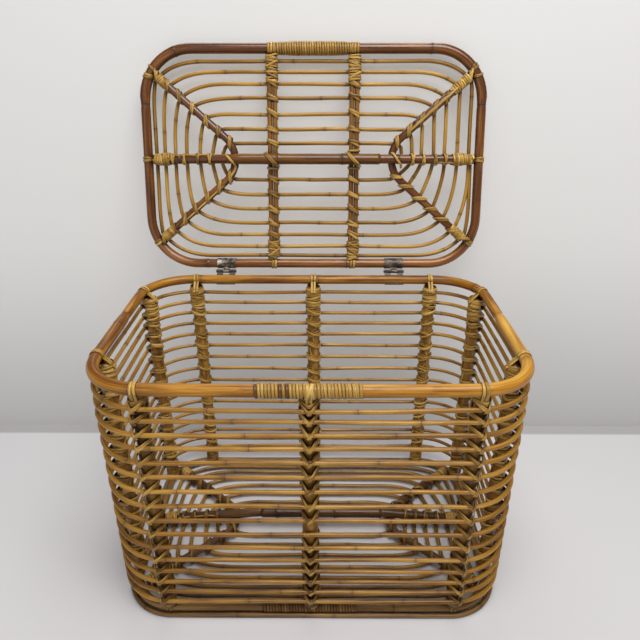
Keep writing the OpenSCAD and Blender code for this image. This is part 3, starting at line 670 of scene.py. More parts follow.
def rib_top_wrap(mesh, place, r, rim_r, z1, seed, shade):
    """The wrap at a rib's top: turns round the rib, bands below them and two strands over the rim."""
    rnd = random.Random(seed)
    rib_coil(mesh, place, r, z1 + 4.5, RIB_TOP + 1.0, 3.5, 3.9, 1.2, seed, shade, 0.12)
    for j in range(9):
        inner_band(mesh, place, r, z1 + 9 - 3.6 * j + rnd.uniform(-1, 1), rnd.uniform(-14, 14),
                   rnd.uniform(3.6, 4.6), seed + 20 + j, shade + rnd.uniform(-0.12, 0.1), 0.6 + 0.7 * (j % 2))
    rz = RIM_Z + droop(place[0][3], place[1][3], RIM_HANG)
    rim_off = rib_in(r) - RIM_R
    over = rim_r + 0.5
    for k, t in enumerate((-2.4, 2.4)):
        lean = rnd.uniform(-1.0, 1.0)
        out = []
        for g in range(-10, 191, 20):
            c, s = polar(g)
            out.append((rim_off + over * c, t + lean * s, rz + over * s))
        out += [(-r - 1.7, t * 0.9, rz - rim_r - 6), (-r - 1.9, t * 0.8, z1 + 9), (-r * 0.6, t * 0.8, z1 + 5),
                (r * 0.6, t * 0.8, z1 + 4), (r + 1.0, t * 0.8, z1 + 6), (r + 2.6, t * 0.9, z1 + 10),
                (rim_off + over * 0.94, t, rz - rim_r * 0.45)]
        pts = smooth([Vector(p) for p in out], True, 2)
        nrm = []
        for p in pts:
            c = Vector((rim_off, p.y, rz)) if p.z > rz - 3 else Vector((r * 0.3, p.y, p.z))
            nrm.append(place.to_3x3() @ (p - c).normalized())
        level = shade + rnd.uniform(-0.06, 0.08)
        strand(mesh, [place @ p for p in pts], nrm, 4.3, 1.1, seed + k, level, True)


def rib_front_wrap(mesh, place, r, z1, seed, shade, point):
    """The strands between the rim and the first rod: two lying across and one crossing pair."""
    rnd = random.Random(seed)
    for h, lift in ((7.4, 0.0), (10.6, 0.4)):
        edge, side = (0.3 * r, 1.04 * r, z1 + h + 1), (0.8 * r + 1.2, 0.66 * r, z1 + h)
        pts = [Vector(p) for p in (
            (edge[0], -edge[1], edge[2]), (side[0], -side[1], side[2]),
            (r + 2 * ROD_R * 0.6 + 1.0 + lift, point * 0.6, z1 + h - 0.8), side, edge)]
        wall_strand(mesh, place, smooth(pts, False, 5), 4.0, 1.1, seed + 1, shade + rnd.uniform(-0.1, 0.1))
    chevron(mesh, place, r, z1 + 0.6, 9.0, seed + 2, shade, 0.0, point)
    chevron(mesh, place, r + 0.3, z1 - 0.4, 10.5, seed + 3, shade - 0.06, 0.0, point * 0.8)


def rib_foot_wrap(mesh, place, r, z16, seed, shade):
    """The wrap at a rib's foot: turns round the rib and a strand over the base ring."""
    rib_coil(mesh, place, r, RIB_BOTTOM + 0.5, z16 - 5, 3.4, 3.3, 1.1, seed, shade, 0.15)
    ring = rib_in(r) - rib_in(RIB_R)
    for k, t in enumerate((-2.2, 2.2)):
        turn = [polar(g, BASE.cane + 0.4) for g in range(0, 181, 20)]
        pts = [Vector((ring + c, t, BASE_Z + s)) for c, s in turn]
        nrm = [place.to_3x3() @ Vector((c, 0, s)).normalized() for c, s in turn]
        strand(mesh, [place @ p for p in pts], nrm, 3.6, 1.0, seed + k + 3, shade)


def lash_rib(mesh, name, seed):
    """All lashings of one rib: a crossing at each rod, the wraps at the top and at the foot."""
    x, y, facing, r = RIBS[name]
    c, s = polar(facing)
    place = placed(((c, s, 0), (-s, c, 0), UP), (x, y, 0))
    middle = name == "rib_front_middle"
    point = LEAN_TO.get(name, 0.0)
    rnd = random.Random(seed)
    share = wall_line.near((x, y, 0)) / wall_line.length
    heights = [rod_height(k, share, x, y) for k in range(1, ROD_COUNT + 1)]
    for k in range(1, ROD_COUNT):
        z, pitch = heights[k], heights[k - 1] - heights[k]
        lean = rnd.choice((1, 1, 1, -1)) * rnd.uniform(1.6, 3.4)
        if middle and k + 1 == MISSING_LASHING:
            continue
        # painted shade: the lashings lower down are a little darker, as less light reaches the lower wall
        tone = rnd.uniform(0.4, 0.6) - (0.018 if middle else 0.008) * k
        rise = min(9.6, 0.46 * pitch) * (0.72 if point else 1.0)
        chevron(mesh, place, r, z - 0.6, rise, seed + k, tone, lean, point)
        chevron(mesh, place, r - 0.3, z + 1.6, rise + 1.9, seed + k + 900, tone - 0.08, lean, point, 3.6)
        for extra in range(rnd.choice((1, 1, 2))):
            h, tilt = z + rnd.uniform(5, 13), rnd.uniform(8, 24) * (1 if x < 150 else -1)
            inner_band(mesh, place, r, h, tilt, rnd.uniform(3.8, 4.8), seed + k + 300 + extra,
                       rnd.uniform(0.4, 0.62), 1.0 + extra * 0.6)
        # a strand that runs down the rib's inner face
        t0, t1 = rnd.uniform(-0.5, 0.6) * r, rnd.uniform(-0.5, 0.6) * r
        run = [Vector((-math.sqrt(max(r * r - t * t, 1)) - 0.4, t, z + 8 + pitch * q))
               for t, q in ((t0, 0), (t0, 0.35), (t1, 0.7), (t1, 1))]
        wall_strand(mesh, place, smooth(run, False, 3), 3.2, 0.9, seed + k + 600, rnd.uniform(0.3, 0.5))
    last = seed + ROD_COUNT - 1
    rib_top_wrap(mesh, place, r, RIM_R if y < SPLICE_Y else RIM_BACK_R, heights[0], last + 5000, 0.52)
    rib_front_wrap(mesh, place, r, heights[0], last + 5500, 0.48, point)
    rib_foot_wrap(mesh, place, r, heights[-1], last + 6000, 0.34)


def grip_crossing(mesh):
    """The crossing strands over the wrapped grip of the rim."""
    for t0, t1, lift in ((-9.0, 5.0, 1.7), (8.5, 2.0, 1.1), (-2.4, -1.6, 1.4), (3.4, 3.9, 1.4)):
        pts, nrm = [], []
        for g in range(-150, 100, 14):
            c, s = polar(g)
            x = t0 + (t1 - t0) * (g + 150) / 250
            nrm.append(Vector((0, -c, s)))
            pts.append(Vector((x, RIM_R - HALF_D, RIM_Z - RIM_HANG)) + nrm[-1] * (RIM_R + lift))
        strand(mesh, pts, nrm, 4.6, 1.2, 77 + int(t0 * 3), 0.6)


seed = 1000
for side in ("front", "back", "left", "right"):
    mesh = Mesh()
    for name in [n for n in RIBS if n.startswith("rib_" + side)]:
        lash_rib(mesh, name, seed)
        seed += ROD_COUNT - 1
    if side == "front":
        grip_crossing(mesh)
    mesh.object("lashing_" + side, straw_mat, "basket", "lashings_" + side, "split_cane")

# wrapped grip on the rim, and the wrap on the base ring
mesh = Mesh()
xs = [-64.5 + 12.9 * q for q in range(11)]
bar = Path([(x, RIM_R - HALF_D, RIM_Z + droop(x, -HALF_D, RIM_HANG)) for x in xs])
coil(mesh, bar, 0, 129, RIM_R - 0.1, 4.2, 3.9, 1.4, UP, 61, 0.5, 0.1, dark=((0, 4), (27, 33), (37, 42)))
coil(mesh, bar, 46, 124, RIM_R + 0.6, 7.3, 2.4, 1.0, UP, 63, 0.54, 0.08)
mesh.object("rim_grip", grip_mat, "basket", "rim_grip_wrap", "split_cane")
mesh = Mesh()
bar = Path([(-68.5, -BASE.half_d, BASE_Z), (68.5, -BASE.half_d, BASE_Z)])
coil(mesh, bar, 0, 137, BASE.cane + 0.1, 4.3, 3.9, 1.3, UP, 67, 0.2, 0.05)
mesh.object("base_wrap", grip_mat, "basket", "base_ring_wrap", "split_cane")


# ---------------------------------------------------------------- panels of the lid and the base
def lid_point(u, v, h):
    """A point of the lid: u along the hinge, v from the middle towards the hinge, h towards the inside."""
    y, z = v - LID_BACK - LID.half_d, LID_RISE - h
    c, s = polar(-90 - LID_LEAN)
    return Vector((u, HINGE_Y + y * c - z * s, HINGE_Z + y * s + z * c))


def base_point(u, v, h):
    return Vector((u, v, BASE_Z + h))


def bezier(*ctrl):
    out = []
    for i in range(13):
        pts = [Vector(c) for c in ctrl]
        while len(pts) > 1:
            pts = [p.lerp(q, i / 12) for p, q in zip(pts, pts[1:])]
        out.append((pts[0].x, pts[0].y))
    return out


class Panel:
    """A panel of loops, V bars, cross ribs and bars. Its point function at takes u, v and the height h. The
    sides sx and sy are -1 at the left and the front, and 1 at the right and the back."""

    def __init__(self, prefix, outline, at, body, seed, loop_h, bar_ends, ribs, rib_r, rib_end):
        self.prefix, self.outline, self.at, self.body, self.seed = prefix, outline, at, body, seed
        self.bar_ends, self.ribs, self.rib_r, self.rib_end = bar_ends, ribs, rib_r, rib_end
        self.is_lid = prefix == "lid"
        self.eu, self.ev, self.up = (at(*q) - at(0, 0, 0) for q in ((1, 0, 0), (0, 1, 0), (0, 0, 1)))
        self.loop_h = loop_h
        self.v_h = loop_h + LOOP_R + 0.2 + V_R
        self.rib_h = loop_h + LOOP_R + 0.2 + rib_r
        self.bar_h = self.rib_h + rib_r + 0.2 + BAR_R
        self.low = loop_h - LOOP_R - 0.4
        self.su, self.sv = (1.0, 1.0) if self.is_lid else (0.955, 0.935)
        # the base panel lies deep inside the basket: its canes, loops and ties are painted darker there as
        # painted shade
        self.bent_mat, self.straight_mat = (dark_mat, rib_mat) if self.is_lid else (shaded_base_mat, shaded_base_mat)
        self.shadow = 0.0 if self.is_lid else 0.14
        self.reach = outline.half_w - outline.cane - 2.0
        self.rnd = random.Random(seed + 130)
        # a V bar's arm: its turn, its root at the nose and its tip near the frame's corner
        dx, dy = polar(AIM, outline.corner - outline.cane - 2.0)
        dx += outline.half_w - outline.corner - NOSE_X
        dy += outline.half_d - outline.corner
        n = math.hypot(dx, dy)
        self.turn = math.degrees(math.atan2(dy, dx)) - math.degrees(math.asin(V_NOSE_R / n))
        length = math.sqrt(n * n - V_NOSE_R ** 2) - V_R * abs(math.sin(math.radians(self.turn - AIM))) - 0.3
        c, s = polar(self.turn)
        self.root = (NOSE_X - V_NOSE_R * s, V_NOSE_R * c)
        self.tip = (self.root[0] + length * c, self.root[1] + length * s)
        self.loops()
        self.v_bars()
        self.cross_ribs()
        self.bars()
        self.lashings()

    def piece(self, mesh, name, material, node, slot="brown_cane"):
        mesh.object(self.prefix + name, material, self.body, self.prefix + node, slot)

    def v_points(self, sx):
        (x0, y0), (x1, y1) = self.root, self.tip
        pts = line((x1, y1), (x0, y0)) + arc(NOSE_X, 0, V_NOSE_R, 90 + self.turn, 270 - self.turn)[1:]
        pts += line((x0, -y0), (x1, -y1))[1:]
        return [(sx * x, y) for x, y in pts]

    def on_v(self, x):
        """The height over the middle line at which a V bar's axis lies at the distance x."""
        x0, y0 = self.root
        if x >= x0:
            return y0 + (x - x0) * math.tan(math.radians(self.turn))
        return math.sqrt(max(0.0, V_NOSE_R ** 2 - (NOSE_X - x) ** 2))

    def arm_turn(self, x):
        """The direction of a V bar at the distance x, in degrees."""
        if x >= self.root[0]:
            return self.turn
        return math.degrees(math.atan2(self.on_v(x), x - NOSE_X)) - 90

    def end_h(self, x, sx):
        """The height of an end bar, which rises from the V bars' level to the top of the thick bar."""
        foot = self.v_h - V_R + END_R * 1.01
        share = (self.reach - abs(x)) / (self.reach - self.bar_ends[sx])
        return foot + (self.bar_h + 0.8 - foot) * share

    def frame_r(self, v):
        """The radius of the frame's cane at v."""
        return LID_BACK_R if self.is_lid and v >= -80 else self.outline.cane

    def loop_quarter(self, side, end, turn_x, steep):
        """A loop from the middle of its long side to its end, in the quarter where both are positive: a long
        curve towards the V bar, a tight turn under it and a steep curve to the end."""
        c = (turn_x, self.on_v(turn_x))
        dx, dy = polar(self.turn if turn_x > 150 else 62, 6.8)
        h = (c[0] - dy - 1.5, min(c[1] + dx + 1.5, side - 0.4))
        v = (min(c[0] + dy + 2.0, end + 0.5), c[1] - dx - 2.0)
        drop = side - h[1]
        fall = math.radians(min(42.0, 12 + 1.3 * drop))
        lead = drop / math.tan(fall)
        inset = end - v[0]
        need = math.degrees(math.atan(max(inset, 0.3) / max(4.0, 0.72 * v[1])))
        lean = math.radians(max(need, min(24.0, 5 + steep * max(inset, 0))))
        run = inset / math.tan(lean)
        pts = line((0, side), (h[0] - lead * 2.7, side))
        pts += bezier((h[0] - lead * 2.7, side), (h[0] - lead, side), h)[1:]
        pts += bezier(h, (h[0] + 5 * math.cos(fall), h[1] - 5 * math.sin(fall)),
                      (v[0] - 5 * math.sin(lean), v[1] + 5 * math.cos(lean)), v)[1:]
        stop = (end, min(max(1.0, v[1] - run * 2.3), v[1] - run))
        pts += bezier(v, (end, v[1] - run), stop)[1:]
        return pts + line(stop, (end, 0.0))[1:]

    def loop_points(self, k):
        """Loop k, from the right end through the hinge half, the left end and the front half."""
        front, hinge = FRONT_SIDES[k - 1] * self.sv, HINGE_SIDES[k - 1] * self.sv
        left, right = LEFT_ENDS[k - 1] * self.su, RIGHT_ENDS[k - 1] * self.su
        first = (RIGHT_ENDS[k - 2] if k > 1 else OUTER_END) * self.su
        out = []
        for side, end, sx, sy, steep in ((hinge, first, 1, 1, 1.1), (hinge, left, -1, 1, 1.1),
                                         (front, left, -1, -1, 1.4), (front, right, 1, -1, 1.4)):
            q = [(sx * x, sy * y) for x, y in self.loop_quarter(side, end, TURNS[k - 1] * self.su, steep)]
            out += q[::-1] if sx == sy else q
        return spaced(out, 0.4)

    def loops(self):
        mesh = Mesh()
        for k in range(1, LOOPS + 1):
            rnd = random.Random(self.seed + k)
            sway, rise = waves(self.seed + 20 + k, 4, 3, 9), waves(self.seed + 40 + k, 4, 2, 6)
            flat = self.loop_points(k)
            ref = Path([(x, y, 0) for x, y in flat])
            pts = []
            for (x, y), s in zip(flat, ref.cum):
                t, along = s / ref.length, ref.tangent(s)
                q = 0.9 * sway(t)
                pts.append(self.at(x - along.y * q, y + along.x * q, self.loop_h + 0.4 * rise(t)))
            path = Path(pts)
            tube(mesh, path, LOOP_R * rnd.uniform(0.95, 1.02), 12, self.up, self.seed + 60 + k,
                 growth_rings(path.length, rnd, 110, 220), 7.0, rnd.uniform(0.34, 0.6) - 1.8 * self.shadow)
        self.piece(mesh, "_loop_rods", loop_mat, "_loops", "golden_cane")

    def v_bars(self):
        self.v_paths = {}
        for i, (sx, side) in enumerate(((-1, "left"), (1, "right"))):
            mesh = Mesh()
            path = Path([self.at(x, y, self.v_h) for x, y in self.v_points(sx)])
            self.v_paths[sx] = path
            marks = growth_rings(path.length, random.Random(self.seed + 82 + i), 90, 170)
            tube(mesh, path, V_R * 0.98, 16, self.up, self.seed + 80 + i, marks, 5.0, 0.45, uneven=0.035)
            self.piece(mesh, "_v_" + side, self.bent_mat, "_v_bar_" + side)

    def cross_ribs(self):
        end = self.rib_end
        for i, (side, xs) in enumerate(self.ribs.items()):
            mesh = Mesh()
            for j, x in enumerate(xs):
                path = Path([self.at(x, -end + 2 * end * q / 50, self.rib_h) for q in range(51)])
                seed = self.seed + 90 + 5 * i + j
                marks = growth_rings(path.length, random.Random(seed + 5), 80, 150)
                tube(mesh, path, self.rib_r * 0.98, 14, self.up, seed, marks, 6.0, 0.5)
            self.piece(mesh, "_rib_%d" % i, self.straight_mat, "_cross_rib" + side)

    def bars(self):
        """The thick middle bar, drawn out over the left nose on the lid, and the end bars."""
        left, right = self.bar_ends[-1], self.bar_ends[1]
        neck = 22.0 if self.is_lid else 0.0
        pts = [self.at(right - (left + right - 2) * q / 50, 0, self.bar_h) for q in range(51)]
        if neck:
            xs = [left + neck * q / 8 for q in range(1, 9)]
            pts += [self.at(-x, 0, self.end_h(x, -1)) for x in xs]
        path = Path(pts)
        full = path.length - neck - 3
        thick = BAR_R * 0.98
        mesh = Mesh()
        tube(mesh, path, lambda q: thick - (thick - END_R - 0.15) * min(1.0, max(0.0, q - full) / 14.0), 20,
             self.up, self.seed + 110, growth_rings(full, random.Random(self.seed + 111), 70, 130), 5.0,
             0.28 + 1.8 * self.shadow, uneven=0.02)
        self.piece(mesh, "_thick_bar", self.straight_mat, "_middle_bar")
        mesh = Mesh()
        self.end_paths = {}
        for sx in (-1, 1):
            span = self.bar_ends[sx] - 3 - self.reach
            xs = [self.reach + span * q / 40 for q in range(41)]
            path = Path([self.at(sx * x, 0, self.end_h(x, sx)) for x in xs])
            self.end_paths[sx] = path
            marks = growth_rings(path.length, random.Random(self.seed + 115 + sx), 60, 110)
            tube(mesh, path, END_R * 0.98, 16, self.up, self.seed + 113 + sx, marks, 6.0, 0.5)
        self.piece(mesh, "_end_bars", self.bent_mat, "_end_bars")

    # The lashings share one random generator, so their order counts.
    def draw(self):
        return self.rnd.randint(0, 10 ** 6)

    def tone(self):
        return self.rnd.uniform(0.32, 0.54) - 1.3 * self.shadow

    def sign(self):
        return self.rnd.choice((-1, 1))

    def heading(self, angle):
        c, s = polar(angle)
        return self.eu * c + self.ev * s

    def place(self, u, v, angle):
        """A frame at (u, v, 0) whose y runs along the direction angle in the panel and whose z points up."""
        along = self.heading(angle)
        return placed((along.cross(self.up), along, self.up), self.at(u, v, 0))

    def oval(self, place, half, bottom, top, corner, tilt, width, drift=0.0):
        oval_strand(self.ties, place, half, bottom, top, corner, tilt, width, self.draw(), self.tone(), drift)

    def across(self, u, v, angle, run, half, top, bottom, width, drift=0.6, corner=5.5):
        """A strand round a member that lies along angle, seen to run along the direction run."""
        m = self.place(u, v, angle)
        d = self.heading(run)
        tilt = math.degrees(math.atan2(d.dot(m.col[1].to_3d()), d.dot(m.col[0].to_3d())))
        if tilt > 90:
            tilt -= 180
        if tilt < -90:
            tilt += 180
        self.oval(m, half, bottom, top, corner, max(-50.0, min(50.0, tilt)), width, drift)

    def lay(self, points, width, shade):
        """A strand that lies on top of members, through (u, v, h)."""
        pts = smooth([self.at(*q) for q in points], False, 5)
        strand(self.ties, pts, [self.up] * len(pts), width, 1.0, self.draw(), shade)

    def lashings(self):
        self.ties = Mesh()
        self.first = 1 if self.is_lid else 2
        for sx in (-1, 1):
            for sy in (-1, 1):
                self.tie_arm(sx, sy)
            if self.is_lid:
                self.tie_nose(sx)
            self.tie_end_bar(sx)
        for xs in self.ribs.values():
            self.tie_rib(sum(xs) / len(xs), (max(xs) - min(xs)) / 2 + self.rib_r)
        self.tie_frame()
        self.piece(self.ties, "_ties", straw_mat, "_lashings", "split_cane")

    def tie_arm(self, sx, sy):
        """The ties of a V bar's arm with the loops, and the wrap at the arm's end."""
        top, low = self.v_h + V_R, self.low
        for k in range(self.first, LOOPS + 1):
            x = TURNS[k - 1] * self.su
            y = self.on_v(x)
            c, s = polar(self.arm_turn(x))
            angle = math.degrees(math.atan2(sy * s, sx * c))
            run = (4 if sx > 0 and sy > 0 else 90) + self.rnd.uniform(-9, 9)
            self.across(sx * x, sy * y, angle, run, V_R + 0.5, top + 0.4, low, 4.6)
            turn = self.sign() * self.rnd.uniform(5, 16)
            dx, dy = polar(angle, self.sign() * self.rnd.uniform(2.2, 3.4))
            self.across(sx * x + dx, sy * y + dy, angle, run + turn, V_R + 0.8, top + 1.0, low - 0.2, 3.8,
                        0.4)
        long = {(-1, -1): 24, (1, -1): 36, (-1, 1): 25, (1, 1): 27}[(sx, sy)]
        path = self.v_paths[sx]
        tail = 2 if sy > 0 else path.length - 2
        for share, lift, width in ((1, 0.2, 3.8), (0.72, 0.9, 3.4)):
            coil(self.ties, path, tail, tail + sy * long * share, V_R + lift, 3.7, width, 1.2, self.up,
                 self.draw(), 0.52, 0.16, phase=self.rnd.uniform(0, 3))

    def tie_nose(self, sx):
        """A strand along one arm of a V bar, and one over the bar at its nose."""
        v_h, bar_h = self.v_h, self.bar_h
        if sx > 0:
            self.lay([(x, 0.8 - self.on_v(x), v_h + V_R + (1.9 if 160 < x < 240 else -1.0))
                      for x in (246, 228, 208, 188, 170, 158)], 3.6, 0.6)
            self.lay([(131, -11, v_h + 5), (134, -7, bar_h + 6.4), (140, 2, bar_h + 8.4), (146, 9, bar_h + 4),
                      (148, 14, v_h + 4)], 4.0, 0.62)
        else:
            self.lay([(-x, self.on_v(x) + 4.2, v_h + V_R * (0.75 if 146 < x < 236 else 0.2) + 0.8)
                      for x in (144, 160, 178, 198, 220, 238)], 3.2, 0.58)
            self.lay([(-148, -9, v_h + 5), (-143, -4, bar_h + 7.4), (-135, 5, bar_h + 7.8),
                      (-131, 12, v_h + 9), (-135, 22, v_h + 7.4), (-145, 34, v_h + 5)], 4.0, 0.6)

    def tie_end_bar(self, sx):
        """The wrap of an end bar, its ties with the loops and a strand along its edge."""
        path = self.end_paths[sx]
        bulge, wound, ends = (20, 31, LEFT_ENDS) if sx < 0 else (25, 37, RIGHT_ENDS)

        def swell(q):
            return END_R + 0.2 + 1.6 * math.exp(-((q - bulge) / 8.0) ** 2)

        coil(self.ties, path, 2, wound, swell, 3.6, 3.7, 1.2, self.up, self.draw(), 0.52, 0.18)
        coil(self.ties, path, bulge - 8, bulge + 9, END_R + 2.0, 4.4, 3.4, 1.0, self.up, self.draw(), 0.5,
             0.18, phase=1.0)
        for k in range(2, LOOPS):
            x = ends[k - 1] * self.su
            top = self.end_h(x, sx) + END_R + 0.5
            lean = self.rnd.uniform(8, 15)
            self.across(sx * x, 0, 0, 90 + lean, END_R + 0.8, top, self.low, 3.9, 0.8, 6.5)
            self.across(sx * x, 0, 0, 90 - lean, END_R + 1.1, top + 0.7, self.low - 0.2, 3.4, 1.6, 6.5)
        edge, x0, x1 = (-6.2, 250, 170) if sx < 0 else (5.8, 252, 205)
        pts = []
        for q in range(7):
            x = x0 + (x1 - x0) * q / 6
            lift = END_R * (0.62 if 0 < q < 6 else 0.2) + 1.2
            pts.append((sx * self.su * x, edge + 0.5 * (-1) ** q, self.end_h(x, sx) + lift))
        self.lay(pts, 3.0, 0.5)

    def tie_rib(self, x, w):
        """The ties of a cross rib, or of a pair, with the loops, the middle bar and the lid's frame."""
        top, low = self.rib_h + self.rib_r, self.rib_h - self.rib_r
        for k in range(self.first, LOOPS + 1):
            for sides, sy in ((FRONT_SIDES, -1), (HINGE_SIDES, 1)):
                v = sy * sides[k - 1] * self.sv
                lean = self.rnd.uniform(26, 40) * (-1 if sy > 0 and k < 3 else 1)
                self.across(x, v, 90, lean, w + 0.3, top + 0.4, self.low, 5.0)
                v += self.sign() * self.rnd.uniform(2.6, 4.2)
                self.across(x, v, 90, lean * self.rnd.uniform(0.3, 0.8), w + 0.6, top + 1.0, self.low - 0.2,
                            4.2, 0.4)
        if not self.is_lid:
            for side in (-1, 1):
                over = self.bar_h + BAR_R + 0.5 + 0.3 * side
                self.oval(self.place(x, 0, 90), w + 1.0, low - 0.4, over, 6.0, 50 * side, 4.0)
            return
        over = self.bar_h + 6.2
        for q in (-1.9, 1.9):
            self.lay([(x - 13 + q, -11 - q * 0.4, self.rib_h + 1), (x - 10 + q, -8, over),
                      (x - 3 + q, 0, self.bar_h + BAR_R + 0.6), (x + 5 + q, 8, over), (x + 9 + q, 12, top)],
                     3.4, self.tone())
        for v, run in ((14.5, 3), (-14.0, -3)) if x > 0 else ((14.5, 3),):
            self.across(x, v, 90, run, w + 0.9, top + 0.8, low - 0.4, 4.4)
        for sy, long, offs in ((-1, 42, (-4.6, 0.0, 4.6)), (1, 30, (-2.6, 2.6))):
            q = 1.5
            while q < long:
                bulge = 0.5 + self.rnd.uniform(0, 1.0)
                v = sy * (self.rib_end - q)
                self.across(x, v, 90, self.rnd.uniform(-13, 13), w + bulge, top + bulge, low - 0.6, 3.5, 0.4,
                            4.5)
                q += self.rnd.uniform(3.9, 4.6)
            for q in (long * 0.35, long * 0.75):
                v, turn = sy * (self.rib_end - q), self.sign() * self.rnd.uniform(24, 36)
                self.across(x, v, 90, turn, w + 1.4, top + 1.9, low - 0.6, 3.6, 1.0, 4.5)
            v = sy * self.outline.half_d
            r = self.frame_r(v) + 0.5
            for q in offs:
                self.oval(self.place(x + q, v, 0), r, -r, r, 7.9, self.rnd.uniform(-6, 6), 4.4)

    def tie_frame(self):
        """The strands over the frame at the ends of the V bars and of the end bars."""
        half_w, half_d, corner, _ = self.outline
        path = Path([self.at(x, y, 0) for x, y in rounded(half_w, half_d, corner)], True)
        dx, dy = polar(AIM, corner)
        places = []
        for sx in (-1, 1):
            places.append((sx * half_w, 0, (-2.3, 2.3)))
            for sy, offs in ((-1, (-10.5, -6.5, 7.0)), (1, (-2.3, 2.3))):
                places.append((sx * (half_w - corner + dx), sy * (half_d - corner + dy), offs))
        for x, y, offs in places:
            s = path.near(self.at(x, y, 0))
            for off in offs:
                p, t = path.point(s + off), path.tangent(s + off)
                inner = (self.at(0, 0, 0) - p).normalized()
                pts, nrm = [], []
                for g in range(0, 360, 20):
                    if not self.is_lid and 190 < g < 350:
                        continue
                    c, up = polar(g)
                    d = t.cross(self.up) * c + self.up * up
                    share = max(0.0, d.dot(inner))
                    pts.append(p + d * (self.frame_r(y) + 0.5) - t * off * 0.45 * share)
                    nrm.append(d)
                strand(self.ties, pts, nrm, 4.2, 1.0, self.draw(), self.tone(), self.is_lid)


Panel("base", BASE, base_point, "basket", 7000, LOOP_R + 0.2 - BASE.cane + 1.5, {-1: 90.0, 1: 117.0},
      {"": (0.0,)}, 7.0, HALF_D - rib_in(MID_RIB_R) - MID_RIB_R - 2.5)
lid = Panel("lid", LID, lid_point, "lid", 8000, LOOP_R - LID.cane, {-1: 122.0, 1: 111.0},
            {"_left": (-72.9, -64.1), "_right": (64.1, 72.9)}, 4.3, LID.half_d - LID.cane - 2.0)


# ---------------------------------------------------------------- lid frame, lid grip and hinges
def lid_cane(name, node, r, s, seed):
    """One cane of the lid's frame, lighter at the hinge edge."""
    flat = half_rounded(LID.half_w, LID.half_d, LID.corner, -LID.half_d + LID.corner + 6 - s * 4, s)
    spliced_cane([lid_point(x, y, 0) for x, y in flat], name, node, dark_mat, "lid", "brown_cane", r, seed,
                 lid.up, (170, 300), 14.0, 0.82,
                 lambda p: 0.48 + 0.34 * min(1.0, max(0.0, (450.0 - p.z) / 25.0)), 0.05)


lid_cane("lid_cane_front", "lid_frame_front", LID.cane, -1, 71)
lid_cane("lid_cane_back", "lid_frame_back", LID_BACK_R, 1, 73)
mesh = Mesh()
bar = Path([lid_point(-62, -LID.half_d, 0), lid_point(62, -LID.half_d, 0)])
coil(mesh, bar, 0, 124, lambda s: LID.cane + 0.1 + 1.4 * min(1.0, min(s, 124 - s) / 30.0), 4.1, 3.7, 1.3,
     lid.up, 79, 0.46, 0.07)
mesh.object("lid_grip", grip_mat, "lid", "lid_grip_wrap", "split_cane")

straps = {"hinge_strap_lid_left": tin_mat, "hinge_strap_lid_right": dull_mat}
for kind in ("strap_rim", "strap_lid", "pin"):
    for side in ("left", "right"):
        name = "hinge_%s_%s" % (kind, side)
        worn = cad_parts[name].data.materials
        worn.clear()
        worn.append(straps.get(name, rust_mat))


# ---------------------------------------------------------------- floor and wall
def smooth_step(nt, value, lo, hi):
    values = {"Value": value, "From Min": lo, "From Max": hi, "To Min": 0.0, "To Max": 1.0}
    return node(nt, "MapRange", values, interpolation_type="SMOOTHSTEP").outputs["Result"]


def mix_shader(nt, fac, a, b):
    return node(nt, "MixShader", {0: fac, 1: a, 2: b}).outputs["Shader"]


def emission(nt, color):
    return node(nt, "Emission", {"Color": color}).outputs["Emission"]


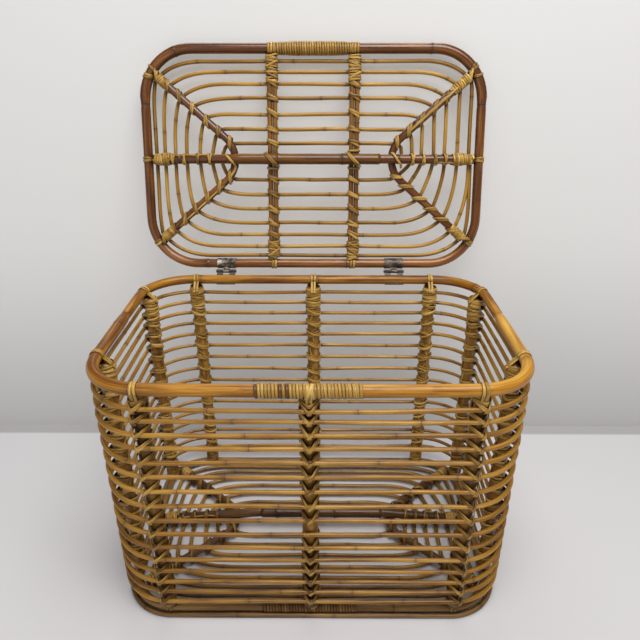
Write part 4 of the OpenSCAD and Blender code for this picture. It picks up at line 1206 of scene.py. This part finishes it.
def stage_material(name, color, far_color, wall):
    """Matt paint that takes the hamper's shadow near it and keeps one pale tone far away. The floor has a
    darker strip along the wall's foot, painted shade of the corner, and the wall is seen only from the front.
    The wall is painted darker towards its foot, painted shade in its paint and in the glow mixed into it."""
    m, nt, bsdf, out = nodes_of(name)
    co = node(nt, "TexCoord").outputs["Object"]
    xyz = node(nt, "SeparateXYZ", {"Vector": co}).outputs
    if wall:
        # painted shade: the wall's paint darkens towards its foot
        rise = smooth_step(nt, xyz["Z"], -0.12, 0.50)
        paint = mix(nt, rise, tuple(0.60 * q for q in color), color)
    else:
        # painted shade: a darker strip on the floor along the wall's foot
        before, behind = smooth_step(nt, xyz["Y"], 0.268, 0.276), smooth_step(nt, xyz["Y"], 0.302, 0.306)
        strip = math_node(nt, "MULTIPLY", before, math_node(nt, "SUBTRACT", 1.0, behind))
        paint = mix(nt, math_node(nt, "MULTIPLY", strip, 0.42), color, (0.12, 0.11, 0.10))
    feed(nt, bsdf, {"Base Color": paint, "Roughness": 0.6, "Specular IOR Level": 0.25})
    reach = node(nt, "VectorMath", {0: co}, operation="LENGTH").outputs["Value"]
    ray = node(nt, "LightPath").outputs
    seen = math_node(nt, "ADD", ray["Is Camera Ray"], ray["Is Glossy Ray"], clamp=True)
    far = math_node(nt, "MULTIPLY", smooth_step(nt, reach, 1.0, 2.4), seen)
    surface = mix_shader(nt, far, bsdf.outputs["BSDF"], emission(nt, far_color))
    if wall:
        # the wall's glow, painted darker towards its foot as painted shade
        even = emission(nt, mix(nt, rise, tuple(0.62 * q for q in far_color), far_color))
        clear = node(nt, "BsdfTransparent").outputs["BSDF"]
        front = math_node(nt, "SUBTRACT", 1.0, node(nt, "NewGeometry").outputs["Backfacing"])
        shown = math_node(nt, "MULTIPLY", front, ray["Is Camera Ray"])
        surface = mix_shader(nt, shown, clear, mix_shader(nt, 0.34, surface, even))
    feed(nt, out, {"Surface": surface})
    return m


def stage_plane(name, corners, material):
    me = bpy.data.meshes.new(name)
    me.from_pydata(corners, [], [(0, 1, 2, 3)])
    ob = bpy.data.objects.new(name, me)
    bpy.context.scene.collection.objects.link(ob)
    me.materials.append(material)


stage_plane("floor", [(-60, -60, 0), (60, -60, 0), (60, 60, 0), (-60, 60, 0)],
            stage_material("floor_paint", (0.655, 0.636, 0.641), (0.62, 0.605, 0.605), False))
stage_plane("backdrop", [(-60, 0.3025, 0), (60, 0.3025, 0), (60, 0.3025, 5), (-60, 0.3025, 5)],
            stage_material("wall_paint", (0.86, 0.85, 0.83), (0.72, 0.712, 0.695), True))

# ---------------------------------------------------------------- light
world = bpy.data.worlds.new("world")
bpy.context.scene.world = world
world.use_nodes = True
sky = world.node_tree
sky.nodes.clear()
air, back = (node(sky, "Background", {"Color": color, "Strength": strength}).outputs["Background"]
             for color, strength in (((0.80, 0.80, 0.80), 0.28), ((0.73, 0.72, 0.70), 1.0)))
seen = node(sky, "LightPath").outputs["Is Camera Ray"]
node(sky, "OutputWorld", {"Surface": mix_shader(sky, seen, air, back)})


def area(name, loc, target, size, power):
    lamp = bpy.data.lights.new(name, "AREA")
    lamp.energy = power
    lamp.size = size
    ob = bpy.data.objects.new(name, lamp)
    bpy.context.scene.collection.objects.link(ob)
    ob.location = loc
    ob.rotation_euler = (Vector(target) - Vector(loc)).to_track_quat("-Z", "Y").to_euler()


area("key", (0.35, -0.75, 2.3), (0, 0, 0.35), 1.4, 47)
area("fill", (-1.2, -1.9, 1.3), (0, 0, 0.3), 1.8, 7)
area("back", (-0.1, 1.5, 2.0), (0, 0, 0.4), 1.5, 14)

bpy.context.scene.view_settings.view_transform = "Standard"
